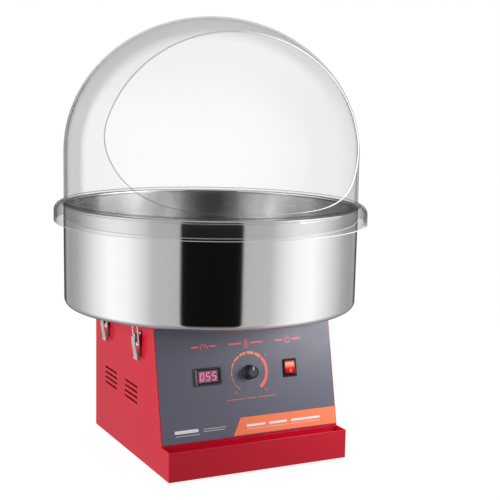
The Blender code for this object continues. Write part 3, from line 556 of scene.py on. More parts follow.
def box_outline(low, high, radius=0.0, steps=4):
    corners = [(low[0], low[1]), (high[0], low[1]), (high[0], high[1]), (low[0], high[1])]
    return rounded(corners, radius, steps) if radius else corners


# ---------------------------------------------------------------- sizes shared with the CAD
GAP = 0.3 * MM
HALF_WIDTH = 0.165
BACK_Y = 0.1437
BOWL_RADIUS = 0.260
BOWL_BOTTOM = 0.2516
BOWL_RIM = 0.429
BOWL_WALL = 1.6 * MM
DOME_RADIUS = 0.259
DOME_WALL = 3 * MM
DOME_SPRING = 0.519
DOME_RISE = 0.2355
LIP_RADIUS = min(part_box("dome")[1].x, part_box("dome")[1].y)
LIP_Z = 0.399
SHOULDER = 15 * MM
DOME_TURN = math.radians(-6.3)
MOUTH_DEPTH = 0.1215
MOUTH_BEND = 0.5775
MOUTH_FRONT = 0.262
MOUTH_DROP = 0.1386
MOUTH_POWER = 1.84
PANEL_LEAN = math.radians(12.17)
PANEL = Matrix.Translation((0, -0.179, 0.0535)) @ Matrix.Rotation(math.radians(90) - PANEL_LEAN, 4, "X")
PANEL_LENGTH = 0.2023
LABEL_TOP = 0.8 * MM
METER_AT = (-0.075, 0.1075)
KNOB_AT = (0.0025, 0.1075)
SWITCH_AT = (0.080, 0.108)
ROCKER_TILT = math.radians(11)


def on_panel(across=0.0, up=0.0, out=0.0):
    return PANEL @ Matrix.Translation((across, up, out))


# ---------------------------------------------------------------- base
def base():
    for node, width in (("base_housing", 0.5), ("front_tray", 0.6), ("front_panel", 0.5), ("top_deck", 0.4),
                        ("bottom_plate", 0.3), ("motor_bracket", 0.5), ("power_inlet", 0.5),
                        ("control_board", 0.2), ("brush_holder", 0.3)):
        softened(node, width * MM)
    low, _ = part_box("foot_1")
    profile = [(0, 0.0057), (0.0131, 0.0057), *arc((0.0131, 0.0053), 0.0004, 90, 0, 3), (0.0135, 0.0030),
               *arc((0.0112, 0.0008), 0.0008, 0, -90, 4), (0.0052, 0.0), (0.0046, 0.0024), (0, 0.0025)]
    for number in range(1, 5):
        low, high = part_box(f"foot_{number}")
        mesh = lathe([(r, z) for r, z in profile], 40)
        mesh.transform(Matrix.Translation(((low.x + high.x) / 2, (low.y + high.y) / 2, low.z)))
        instead_of(f"foot_{number}", mesh)


def screw_mesh(radius, height):
    """A pan-head screw on +Z, with a cross recess cut by its own rings."""
    def recess(turn, reach, level):
        if level > height * 0.72 or reach > radius * 0.75:
            return reach
        return reach * (0.55 + 0.45 * abs(math.cos(2 * turn)) ** 6)
    profile = [(radius, 0), *arc((radius - height * 0.8, height * 0.2), height * 0.8, 0, 80, 6),
               (radius * 0.62, height), (radius * 0.56, height * 0.7), (radius * 0.40, height * 0.45),
               (0, height * 0.35)]
    return lathe([(0, 0), *profile], 32, flute=recess)


def screws():
    turn_back = Matrix.Rotation(math.radians(-90), 4, "X")
    heads = []
    for across in (-0.150, 0.150):
        for height in (0.022, 0.130, 0.238):
            heads.append((across, height))
    heads += [(0.0, 0.238), (0.05, 0.022)]
    low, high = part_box("power_inlet")
    flange = high.y
    for number, (across, height) in enumerate(heads, 1):
        mesh = screw_mesh(3.4 * MM, 1.9 * MM)
        mesh.transform(Matrix.Translation((across, BACK_Y, height)) @ turn_back)
        piece(f"back_screw_{number}", mesh, MATERIAL["zinc"], "base")
    for number, across in enumerate((low.x + 5 * MM, high.x - 5 * MM), 1):
        mesh = screw_mesh(2.4 * MM, 1.4 * MM)
        mesh.transform(Matrix.Translation((across, flange, (low.z + high.z) / 2)) @ turn_back)
        piece(f"inlet_screw_{number}", mesh, MATERIAL["zinc"], "base")


def fuse():
    """Fuse cap with a fluted grip and a round recess in its top."""
    low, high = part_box("fuse_holder")
    centre = ((low.x + high.x) / 2, (low.z + high.z) / 2)
    face = BACK_Y + GAP

    def grip(turn, radius, height):
        return radius - (0.35 * MM * (0.5 + 0.5 * math.cos(18 * turn)) if 3.2 * MM < height < 11.5 * MM
                         and radius > 6 * MM else 0.0)

    profile = [(0, -0.030), (0.0063, -0.030), (0.0063, 0.0), (0.0095, 0.0), *arc((0.0091, 0.0021), 0.0004, 0, 90, 3),
               (0.0073, 0.0026), (0.0072, 0.0034), (0.0072, 0.0110), *arc((0.0064, 0.0112), 0.0008, 0, 90, 4),
               (0.0030, 0.0120), (0.0026, 0.0110), (0, 0.0110)]
    mesh = lathe(profile, 72, flute=grip)
    mesh.transform(Matrix.Translation((centre[0], face, centre[1])) @ Matrix.Rotation(math.radians(-90), 4, "X"))
    instead_of("fuse_holder", mesh)


# ---------------------------------------------------------------- printing on the panel
INK_LOW = LABEL_TOP + 0.02 * MM
INK_HIGH = LABEL_TOP + 0.10 * MM


def ribbon(points, widths, closed=False):
    """A flat ink line of one or more widths through points on the panel, in millimetres."""
    if isinstance(widths, (int, float)):
        widths = [widths] * len(points)
    points = [Vector((p[0] * MM, p[1] * MM)) for p in points]
    count = len(points)
    rings = []
    for index, (point, width) in enumerate(zip(points, widths)):
        ahead = points[(index + 1) % count] if closed or index < count - 1 else point
        behind = points[index - 1] if closed or index else point
        direction = (ahead - behind).normalized()
        side = Vector((-direction.y, direction.x)) * width * MM / 2
        a, b = point + side, point - side
        rings += [(a.x, a.y, INK_LOW), (a.x, a.y, INK_HIGH), (b.x, b.y, INK_HIGH), (b.x, b.y, INK_LOW)]
    faces = grid_faces(count, 4, closed, True)
    if not closed:
        faces += [(0, 1, 2, 3), tuple(4 * count - 4 + k for k in range(4))]
    return mesh_from(rings, faces)


def patch(outline, radius=0.0, low=INK_LOW, high=INK_HIGH):
    outline = [(x * MM, y * MM) for x, y in outline]
    return slab(rounded(outline, radius * MM, 5) if radius else outline, low, high)


def bar(x0, x1, s0, s1):
    return patch(box_outline((x0, s0), (x1, s1)), (s1 - s0) / 2)


def printed(name, finish, *meshes):
    mesh = merged(meshes)
    mesh.transform(PANEL)
    return piece(name, mesh, finish, "base")


def ring_points(centre, radius, start, end, steps):
    return arc(centre, radius, start, end, steps)


def panel_print():
    knob = (KNOB_AT[0] / MM, KNOB_AT[1] / MM)
    dashes = [(236, 213, 0.8, 0.9), (209, 193, 0.9, 1.1), (190, 170, 1.1, 1.5), (166, 147, 2.0, 2.7),
              (143, 123, 2.9, 3.6), (119, 97, 3.8, 4.4), (93, 71, 4.5, 4.9), (67, 47, 4.9, 5.1)]
    strips = []
    for start, end, thin, thick in dashes:
        steps = 8
        widths = [thin + (thick - thin) * step / steps for step in range(steps + 1)]
        strips.append(ribbon(ring_points(knob, 33, start, end, steps), widths))
    printed("scale_dashes", ORANGE_INK, *strips)
    steps = 40
    widths = [5.2 + 0.8 * step / steps for step in range(steps + 1)]
    printed("scale_band", CORAL_INK, ribbon(ring_points(knob, 33, 43, -54, steps), widths))
    zero = ribbon([(x - 24 + 0, y + 75.5) for x, y in oval(1.3, 2.0)], 0.6, closed=True)
    one = ribbon([(29.2, 76.6), (30.2, 77.6), (30.2, 73.4)], 0.6)
    nought = ribbon([(x + 33.4, y + 75.5) for x, y in oval(1.3, 2.0)], 0.6, closed=True)
    five = ribbon([(36.4, 135.6), (33.9, 135.6), (33.7, 133.8), (35.4, 134.0), (36.3, 133.0), (35.6, 131.7),
                   (33.6, 131.8)], 0.6)
    printed("scale_numbers", CORAL_INK, zero, one, nought, five)
    band_edge = PANEL_LENGTH
    band = patch([(-35, 4), (163.2, 4), (163.2, 33), (-19.5, 33)])
    printed("orange_band", ORANGE_INK, band)
    raised = (INK_HIGH + 0.02 * MM, INK_HIGH + 0.08 * MM)
    words = [(-10, 26), (33, 67), (75, 132)]
    bars = [patch(box_outline((x0, 16.5), (x1, 20.5)), 2.0, *raised) for x0, x1 in words]
    bars.append(patch(box_outline((-10, 12.4), (132, 13.0)), 0.3, *raised))
    printed("band_bars", WHITE_INK, *bars)
    printed("corner_bars", WHITE_INK, bar(-141, -98, 18.2, 23.6), bar(-139, -96, 14.0, 14.7),
            bar(-89, -47, 21.2, 21.9), bar(-89, -50, 17.6, 18.3))
    printed("advice_line", CORAL_INK, bar(-42, -8, 63.4, 64.5), bar(-4, 12, 63.6, 64.7), bar(16, 50, 63.8, 64.9))
    icons = []
    gauge = (-78, 154.8)
    icons.append(ribbon(ring_points(gauge, 6.2, 205, -25, 24), 1.3))
    icons.append(ribbon([gauge, (gauge[0] + 3.2, gauge[1] + 3.6)], 1.3))
    stem = [(-2.2, 155.2), (-2.2, 161.6), (-1.5, 162.8), (0, 163.2), (1.5, 162.8), (2.2, 161.6), (2.2, 155.2)]
    bulb = [(3.3 * math.cos(a), 152.8 + 3.3 * math.sin(a)) for a in
            [math.radians(48 - 276 * k / 20) for k in range(21)]]
    icons.append(ribbon([*stem, *bulb], 1.1, closed=True))
    icons.append(ribbon([(0, 152.6), (0, 159.6)], 1.3))
    power = (80, 156.6)
    icons.append(ribbon(ring_points(power, 5.0, 125, 415, 30), 1.3))
    icons.append(ribbon([(80, 157.4), (80, 163.2)], 1.3))
    for start, end in ((-101, -88), (-68, -55), (-33, -8), (8, 33), (56, 71), (89, 104)):
        icons.append(bar(start, end, 155.6, 158.4))
    printed("caption_icons", CORAL_INK, *icons)


def oval(a, b, steps=16):
    return [(a * math.cos(TAU * k / steps), b * math.sin(TAU * k / steps)) for k in range(steps)]


# ---------------------------------------------------------------- controls
def frame_mesh(outer, inner, levels):
    """A rectangular frame swept through (outer share, inner share, height) levels; outer and inner are not used. Each
    level is (half sizes, height).
    """
    vertices = []
    for half_x, half_y, radius, height in levels:
        for x, y in box_outline((-half_x, -half_y), (half_x, half_y), radius, 5):
            vertices.append((x, y, height))
    count = len(box_outline((-1, -1), (1, 1), 0.1, 5))
    return vertices, count


def swept_frame(levels):
    """A closed ring of rounded rectangles, each (half width, half height, corner radius, out)."""
    vertices, count = frame_mesh(None, None, levels)
    return mesh_from(vertices, grid_faces(len(levels), count, True, True))


SEGMENTS = {"0": "abcdef", "5": "afgcd"}


def digit_mesh(character, size, thickness, low, high):
    """A seven-segment digit of (width, height), centred on the origin."""
    w, h = size[0] / 2, size[1] / 2
    gap = thickness * 0.18
    spans = {
        "a": ((-w, h), (w, h)), "g": ((-w, 0), (w, 0)), "d": ((-w, -h), (w, -h)),
        "f": ((-w, 0), (-w, h)), "b": ((w, 0), (w, h)), "e": ((-w, -h), (-w, 0)), "c": ((w, -h), (w, 0)),
    }
    meshes = []
    for key in SEGMENTS[character]:
        (x0, y0), (x1, y1) = spans[key]
        start, end = Vector((x0, y0)), Vector((x1, y1))
        along = (end - start).normalized()
        side = Vector((-along.y, along.x)) * thickness / 2
        start, end = start + along * gap, end - along * gap
        point = along * thickness / 2
        outline = [start, start + point - side, end - point - side, end, end - point + side, start + point + side]
        meshes.append(slab([tuple(p) for p in outline], low, high))
    mesh = merged(meshes)
    mesh.transform(Matrix(((1, 0.10, 0, 0), (0, 1, 0, 0), (0, 0, 1, 0), (0, 0, 0, 1))))
    return mesh


def meter():
    under = LABEL_TOP + GAP
    top = under + 3.6 * MM
    levels = [
        (22.2 * MM, 12.7 * MM, 0.8 * MM, -20 * MM), (22.2 * MM, 12.7 * MM, 0.8 * MM, under),
        (24.0 * MM, 14.5 * MM, 1.2 * MM, under), (24.0 * MM, 14.5 * MM, 1.2 * MM, top - 1.6 * MM),
        (23.6 * MM, 14.1 * MM, 1.0 * MM, top - 0.4 * MM), (23.1 * MM, 13.6 * MM, 0.8 * MM, top),
        (20.8 * MM, 12.3 * MM, 0.5 * MM, top), (20.4 * MM, 12.0 * MM, 0.5 * MM, top - 0.3 * MM),
        (18.0 * MM, 10.0 * MM, 0.4 * MM, under + 1.75 * MM),
        (18.0 * MM, 10.0 * MM, 0.4 * MM, -19 * MM),
    ]
    body = swept_frame(levels)
    body.transform(on_panel(*METER_AT))
    instead_of("meter_body", body, "meter_bezel")
    glass = slab(box_outline((-17.7 * MM, -9.7 * MM), (17.7 * MM, 9.7 * MM), 0.5 * MM),
                 under + 2.1 * MM, under + 3.0 * MM, on_panel(*METER_AT), 0.15 * MM)
    instead_of("meter_window", glass, "meter_glass")
    for number, (character, across) in enumerate(zip("055", (-11.2, -0.2, 10.8)), 1):
        mesh = digit_mesh(character, (6.2 * MM, 12.4 * MM), 1.45 * MM, under + 3.02 * MM, under + 3.10 * MM)
        mesh.transform(on_panel(*METER_AT) @ Matrix.Translation((across * MM, 0, 0)))
        piece(f"meter_digit_{number}", mesh, DIGIT_GLOW, "base")


def knob():
    low = LABEL_TOP + 2 * GAP
    top = 18.0 * MM

    def flute(turn, radius, height):
        if radius < 8.9 * MM or height < low + 4.2 * MM or height > top - 0.9 * MM:
            return radius
        return radius - 0.28 * MM * (0.5 + 0.5 * math.cos(36 * turn)) ** 2

    profile = [(0, top - 0.25 * MM), (7.6 * MM, top - 0.25 * MM), (8.0 * MM, top - 0.05 * MM), (8.4 * MM, top),
               (9.2 * MM, top), *arc((9.2 * MM, top - 0.7 * MM), 0.7 * MM, 90, 10, 4)]
    profile += [(10.0 * MM + 0.6 * MM * k / 6, top - 1.0 * MM - (top - 1.0 * MM - low - 4.0 * MM) * k / 6)
                for k in range(7)]
    profile += [(11.6 * MM, low + 3.4 * MM), (12.1 * MM, low + 2.9 * MM), (12.3 * MM, low + 2.2 * MM),
                (12.4 * MM, low + 0.3 * MM), (12.2 * MM, low), (3.3 * MM, low), (3.3 * MM, 12.0 * MM), (0, 12.0 * MM)]
    mesh = lathe(profile, 180, flute=flute)
    mesh.transform(on_panel(*KNOB_AT))
    instead_of("heat_knob", mesh, "heat_knob_body")
    face = lathe([(0, top - 0.24 * MM), (0, top - 0.12 * MM), (7.3 * MM, top - 0.12 * MM),
                  *arc((7.3 * MM, top - 0.17 * MM), 0.05 * MM, 90, 0, 2), (7.35 * MM, top - 0.24 * MM)], 90)
    face.transform(on_panel(*KNOB_AT))
    piece("knob_face", face, KNOB_FACE_PAINTED_LIGHT, BODY_OF["heat_knob"])
    line = slab(box_outline((-0.9 * MM, 3.6 * MM), (0.9 * MM, 9.4 * MM), 0.5 * MM), top - 0.11 * MM,
                top + 0.06 * MM)
    line.transform(on_panel(*KNOB_AT) @ Matrix.Rotation(math.radians(-4), 4, "Z"))
    piece("knob_pointer", line, BLUE_INK_PAINTED_GLOW, BODY_OF["heat_knob"])


def switch():
    under = LABEL_TOP + GAP
    top = under + 2.2 * MM
    levels = [
        (11.0 * MM, 13.8 * MM, 0.5 * MM, -18 * MM), (11.0 * MM, 13.8 * MM, 0.5 * MM, under),
        (12.75 * MM, 15.5 * MM, 0.9 * MM, under), (12.75 * MM, 15.5 * MM, 0.9 * MM, top - 0.9 * MM),
        (12.45 * MM, 15.2 * MM, 0.8 * MM, top - 0.2 * MM), (12.1 * MM, 14.85 * MM, 0.7 * MM, top),
        (9.5 * MM, 12.8 * MM, 0.3 * MM, top), (9.1 * MM, 12.4 * MM, 0.3 * MM, top - 0.4 * MM),
        (9.1 * MM, 12.4 * MM, 0.3 * MM, -17 * MM),
    ]
    body = swept_frame(levels)
    body.transform(on_panel(*SWITCH_AT))
    instead_of("switch_body", body, "switch_bezel")

    hub = on_panel(*SWITCH_AT, 1.2 * MM) @ Matrix.Rotation(-ROCKER_TILT, 4, "X")
    top_line = []
    for step in range(25):
        along = -11.3 + 22.6 * step / 24
        dip = 2.7 + 1.3 * (abs(along) / 11.3) ** 1.25
        top_line.append((along * MM, dip * MM))
    outline = [*top_line, (10.9 * MM, 2.6 * MM), (10.0 * MM, -3.0 * MM), (0, -6.5 * MM), (-10.0 * MM, -3.0 * MM),
               (-10.9 * MM, 2.6 * MM)]
    lens = slab(outline, -8.7 * MM, 8.7 * MM, Matrix.Rotation(math.radians(90), 4, "Z")
                @ Matrix.Rotation(math.radians(90), 4, "X"), 0.0)
    bm = bmesh.new()
    bm.from_mesh(lens)
    rims = [edge for edge in bm.edges if edge.calc_face_angle(0) > math.radians(60)]
    bmesh.ops.bevel(bm, geom=rims, offset=0.45 * MM, segments=3, profile=0.5, affect="EDGES", clamp_overlap=True)
    bm.to_mesh(lens)
    bm.free()
    lens.shade_smooth()
    lens.set_sharp_from_angle(angle=math.radians(50))
    lens.transform(hub)
    instead_of("rocker", lens, "rocker_lens")

    def marked(along):
        return (2.7 + 1.3 * (abs(along) / 11.3) ** 1.25) * MM

    stroke = []
    for start, end in ((3.9, 8.1),):
        for step in range(6):
            along = start + (end - start) * step / 6
            reach = along + (end - start) / 6
            vertices = [(-0.5 * MM, along * MM, marked(along)), (0.5 * MM, along * MM, marked(along)),
                        (0.5 * MM, reach * MM, marked(reach)), (-0.5 * MM, reach * MM, marked(reach))]
            raised = [(x, y, z + 0.10 * MM) for x, y, z in vertices]
            stroke.append(mesh_from([*vertices, *raised], [(0, 1, 2, 3), (7, 6, 5, 4), (0, 4, 5, 1), (1, 5, 6, 2),
                                                           (2, 6, 7, 3), (3, 7, 4, 0)]))
    line = merged(stroke)
    line.transform(hub)
    piece("rocker_mark_on", line, MARK_GLOW, BODY_OF["rocker"])
    loop = [(1.9 * MM * math.cos(TAU * k / 28), (-5.6 + 2.1 * math.sin(TAU * k / 28)) * MM) for k in range(28)]
    circle = tube([(x, y, marked(y / MM) + 0.02 * MM) for x, y in loop], 0.32 * MM, True, 8)
    circle.transform(hub)
    piece("rocker_mark_off", circle, MARK_GLOW, BODY_OF["rocker"])


# ---------------------------------------------------------------- latches
BAIL_PIVOT = Vector((0.0055, 0, 0.204))
BAIL_TOP = Vector((0.009, 0, 0.2445))
BAIL_HALF = 11.5 * MM
WIRE = 1.5 * MM


def latches():
    rise = BAIL_TOP - BAIL_PIVOT
    bend = 3 * MM
    half = BAIL_HALF - bend
    loop = arc((-half, rise.length - bend), bend, 180, 90, 8) + arc((half, rise.length - bend), bend, 90, 0, 8)
    loop += arc((half, bend), bend, 0, -90, 8) + arc((-half, bend), bend, -90, -180, 8)
    route = [BAIL_PIVOT + rise.normalized() * up + Vector((0, across, 0)) for across, up in loop]
    for number in range(1, 5):
        low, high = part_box(f"latch_plate_{number}")
        side = -1 if number < 3 else 1
        place = Matrix.Translation((side * HALF_WIDTH, (low.y + high.y) / 2, 0))
        if side < 0:
            place = place @ Matrix.Rotation(math.radians(180), 4, "Z")
        wire = tube(route, WIRE, True, 14)
        wire.transform(place)
        instead_of(f"latch_bail_{number}", wire, f"latch_wire_{number}")
        softened(f"latch_lever_{number}", 0.45 * MM)
        plate = softened(f"latch_plate_{number}", 0.3 * MM)
        # The plate takes the dark finish of painted shade.
        plate.data.materials[0] = LATCH_PLATE_PAINTED_SHADE
        softened(f"bowl_hook_{number}", 0.35 * MM)
        rivets = []
        for across, up in ((-6 * MM, 0.2246), (6 * MM, 0.2246)):
            head = lathe([(0, 1.1 * MM), *arc((0, 0), 1.1 * MM, 88, 0, 6)], 20)
            head.transform(Matrix.Diagonal((1.6, 1.6, 1.0, 1.0)))
            head.transform(Matrix.Translation((1.8 * MM, across, up)) @ Matrix.Rotation(math.radians(90), 4, "Y"))
            rivets.append(head)
        heads = merged(rivets)
        heads.transform(place)
        piece(f"latch_rivets_{number}", heads, MATERIAL["nickel"], "base")


# ---------------------------------------------------------------- spinner head
HEAD_Z = 0.2985
HEAD_RADIUS = 0.062


def head():
    deck = HEAD_Z + 5 * MM
    top = deck + 30 * MM
    bore = 5.3 * MM
    plate = [(bore, deck), (0.0586, deck), *arc((0.0590, deck + 0.0004), 0.0004, 270, 180, 2), (0.0590, deck + 0.0030),
             *arc((HEAD_RADIUS - 0.0006, deck + 0.0024), 0.0006, 90, 0, 4), (HEAD_RADIUS, HEAD_Z + 0.0014),
             *arc((HEAD_RADIUS - 0.0014, HEAD_Z + 0.0014), 0.0014, 0, -90, 5), (0.0150, HEAD_Z),
             *arc((0.0150, HEAD_Z - 0.0030), 0.0030, 90, 180, 5), (0.0120, HEAD_Z - 0.0152),
             *arc((0.0112, HEAD_Z - 0.0152), 0.0008, 0, -90, 3), (bore, HEAD_Z - 0.016)]
    instead_of("head_plate", merged([lathe(plate, 144, True), *posts(deck - 0.5 * MM, top)]), "head_disc")
    cap_low = top + GAP
    cap = [*arc((0.0215, cap_low + 0.0117), 0.0008, 200, 60, 5), (0.0300, cap_low + 0.0093),
           (0.0370, cap_low + 0.0064), (0.0440, cap_low + 0.0040), (0.0520, cap_low + 0.0031),
           (HEAD_RADIUS - 0.0012, cap_low + 0.0025), (HEAD_RADIUS - 0.0004, cap_low + 0.0020),
           (HEAD_RADIUS, cap_low + 0.0012), (HEAD_RADIUS, cap_low + 0.0004), (HEAD_RADIUS - 0.0004, cap_low),
           (0.0430, cap_low), (0.0300, cap_low + 0.0055), (0.0190, cap_low + 0.0100), (0.0180, cap_low + 0.0115)]
    instead_of("head_cap", lathe(cap, 144, True), "head_cover")
    for number in range(3):
        angle = math.radians(30 + 120 * number)
        mesh = screw_mesh(2.6 * MM, 1.3 * MM)
        mesh.transform(Matrix.Translation((0.040 * math.cos(angle), 0.040 * math.sin(angle), cap_low + 5.0 * MM)))
        piece(f"head_screw_{number + 1}", mesh, MATERIAL["nickel"], "rotor")
    screen()
    heater()
    nut = [(0.0090, deck + 0.0046), *arc((0.0086, deck + 0.0046), 0.0004, 0, 90, 2), (bore, deck + 0.0050),
           (bore, deck + GAP), (0.0090, deck + GAP)]

    def hexagon(turn, radius, height):
        if radius < 7 * MM:
            return radius
        inner = 7.8 * MM
        return min(radius, inner / math.cos((turn % (TAU / 6)) - TAU / 12))

    instead_of("head_nut", lathe(nut, 96, True, flute=hexagon), "head_hex_nut")


def posts(low, high):
    made = []
    for number in range(3):
        angle = math.radians(30 + 120 * number)
        mesh = lathe([(0, high), (2.5 * MM, high), (2.5 * MM, low), (0, low)], 24)
        mesh.transform(Matrix.Translation((0.040 * math.cos(angle), 0.040 * math.sin(angle), 0)))
        made.append(mesh)
    return made


def screen():
    """The head's perforated band: a ring of cells, each with a round hole through it."""
    low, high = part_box("head_screen")
    columns, rows = 96, 8
    margin = 2.2 * MM
    cell_height = (high.z - low.z - 2 * margin) / rows
    outer, inner = 58.45 * MM, 57.1 * MM
    cell = TAU / columns
    hole = 0.30 * min(cell_height, outer * cell)
    shape = []
    for k in range(8):
        turn = TAU * k / 8 + TAU / 16
        shape.append((math.cos(turn), math.sin(turn)))
    square = [(1, 0.42), (0.42, 1), (-0.42, 1), (-1, 0.42), (-1, -0.42), (-0.42, -1), (0.42, -1), (1, -0.42)]
    square = [(max(-1, min(1, x)), max(-1, min(1, y))) for x, y in square]
    vertices, faces = [], []

    def corner(radius, angle, height):
        vertices.append((radius * math.cos(angle), radius * math.sin(angle), height))
        return len(vertices) - 1

    for row in range(rows):
        height = low.z + margin + (row + 0.5) * cell_height
        for column in range(columns):
            angle = (column + 0.5) * cell
            rings = []
            for radius in (outer, inner):
                rim = [corner(radius, angle + x * hole / radius, height + y * hole) for x, y in shape]
                edge = [corner(radius, angle + x * cell / 2, height + y * cell_height / 2)
                        for x, y in ((1, 1), (-1, 1), (-1, -1), (1, -1))]
                rings.append((rim, edge))
            for flip, (rim, edge) in enumerate(rings):
                for k in range(4):
                    a, b = rim[2 * k], rim[2 * k + 1]
                    c = edge[k]
                    n = rim[(2 * k + 2) % 8]
                    d = edge[(k + 1) % 4]
                    group = [(a, b, c), (b, n, d, c)]
                    faces += [tuple(reversed(f)) for f in group] if flip else group
            for k in range(8):
                faces.append((rings[0][0][k], rings[1][0][k], rings[1][0][(k + 1) % 8], rings[0][0][(k + 1) % 8]))
    for height, edge in ((low.z, low.z + margin), (high.z, high.z - margin)):
        rings = [[corner(radius, column * cell, level) for column in range(columns)]
                 for radius, level in ((outer, edge), (outer, height), (inner, height), (inner, edge))]
        for first, second in zip(rings, rings[1:]):
            for column in range(columns):
                following = (column + 1) % columns
                faces.append((first[column], first[following], second[following], second[column]))
    instead_of("head_screen", mesh_from(vertices, faces, 50), "head_perforated_band")


def heater():
    """The element's ribbon, folded up and down round the head."""
    low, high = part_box("heater_ring")

    def fold(turn, radius, height):
        return radius - 0.9 * MM * (0.5 + 0.5 * math.sin(60 * turn))

    steps = 8
    outside = [(52.0 * MM, low.z + (high.z - low.z) * k / steps) for k in range(steps + 1)]
    inside = [(50.6 * MM, low.z + (high.z - low.z) * k / steps) for k in range(steps, -1, -1)]
    instead_of("heater_ring", lathe([*outside, *inside], 480, True, flute=fold), "heater_ribbon")


# ---------------------------------------------------------------- bowl
def bowl():
    outer = BOWL_RADIUS - 0.4 * MM
    foot = outer - 1.0 * MM
    inner = outer - BOWL_WALL
    floor = BOWL_BOTTOM + BOWL_WALL
    collar_top = BOWL_BOTTOM + 24 * MM
    bead = 3 * MM
    at = (BOWL_RADIUS - bead, BOWL_RIM - bead)
    corner = 12 * MM
    collar = 30 * MM
    profile = arc(at, bead, 180, -40, 18)
    wall_top = at[1] - bead * 0.9
    profile += [(outer - 0.1 * MM, wall_top)]
    profile += [(outer - (outer - foot) * k / 8, wall_top - (wall_top - BOWL_BOTTOM - corner) * k / 8)
                for k in range(1, 8)]
    profile += arc((foot - corner, BOWL_BOTTOM + corner), corner, 0, -90, 10)
    profile += [(foot - corner - (foot - corner - 0.040) * k / 6, BOWL_BOTTOM) for k in range(1, 6)]
    profile += [(collar + 4 * MM, BOWL_BOTTOM), (collar + 1.2 * MM, BOWL_BOTTOM + 1.2 * MM),
                (collar, BOWL_BOTTOM + 4 * MM), (collar, collar_top - 0.6 * MM),
                *arc((collar + 0.8 * MM, collar_top - 0.8 * MM), 0.8 * MM, 180, 0, 6)]
    outside = len(profile)
    profile += arc((collar + BOWL_WALL + 3 * MM, floor + 3 * MM), 3 * MM, 180, 270, 5)
    profile += [(0.040 + (foot - corner - 0.040) * k / 6, floor) for k in range(1, 6)]
    profile += arc((foot - corner, BOWL_BOTTOM + corner), corner - BOWL_WALL, -90, 0, 10)
    profile += [(inner - 1 * MM * (1 - k / 8), BOWL_BOTTOM + corner
                 + (BOWL_RIM - 2 * bead - BOWL_BOTTOM - corner) * k / 8) for k in range(1, 9)]
    sides = 256
    marks = [0 if row < outside else 1 for row in range(len(profile)) for _ in range(sides)]
    mesh = lathe(profile, sides, True, marks=marks)
    piece("spun_bowl", mesh, (MATERIAL["steel"], STEEL_INSIDE), BODY_OF["bowl"], ("bowl",))


# ---------------------------------------------------------------- dome
def dome_radius(height, depth):
    """Radius of the dome's surface, depth below its outer face, at a height above the spring line."""
    if height <= DOME_SPRING:
        return DOME_RADIUS - depth
    share = (height - DOME_SPRING) / (DOME_RISE - depth)
    return (DOME_RADIUS - depth) * math.sqrt(max(0.0, 1 - share * share))


def mouth_loop(depth, inset, count):
    """Half of the mouth's edge from its top to its lower middle, as (height, angle from the back)."""
    points = []
    fine = 1500
    top = DOME_SPRING + (DOME_RISE - depth) * math.sqrt(max(0.0, 1 - ((MOUTH_DEPTH + inset) / (DOME_RADIUS - depth)) ** 2))
    for step in range(fine + 1):
        t = step / fine
        points.append((top + (MOUTH_BEND - top) * (1 - (1 - t) ** 2), MOUTH_DEPTH + inset))
    for step in range(1, fine + 1):
        angle = math.radians(90 * step / fine)
        across = math.cos(angle) ** (2 / MOUTH_POWER)
        down = math.sin(angle) ** (2 / MOUTH_POWER)
        reach = MOUTH_FRONT - (MOUTH_FRONT - MOUTH_DEPTH) * across + inset * math.cos(angle)
        points.append((MOUTH_BEND - MOUTH_DROP * down + inset * math.sin(angle), reach))
    spots = []
    for height, reach in points:
        radius = dome_radius(height, depth)
        if reach > radius:
            if not spots:
                continue
            spots.append((height, math.pi, radius))
            break
        spots.append((height, math.pi - math.acos(min(1.0, reach / radius)), radius))
    spots[0] = (spots[0][0], math.pi, spots[0][2])
    places = [Vector((radius * math.sin(turn), radius * math.cos(turn), height)) for height, turn, radius in spots]
    lengths = [0.0]
    for a, b in zip(places, places[1:]):
        lengths.append(lengths[-1] + (b - a).length)
    result = []
    index = 0
    for step in range(count + 1):
        target = lengths[-1] * step / count
        while index < len(lengths) - 2 and lengths[index + 1] < target:
            index += 1
        span = lengths[index + 1] - lengths[index]
        share = (target - lengths[index]) / span if span else 0.0
        result.append(tuple(a + (b - a) * share for a, b in zip(spots[index], spots[index + 1])))
    return result


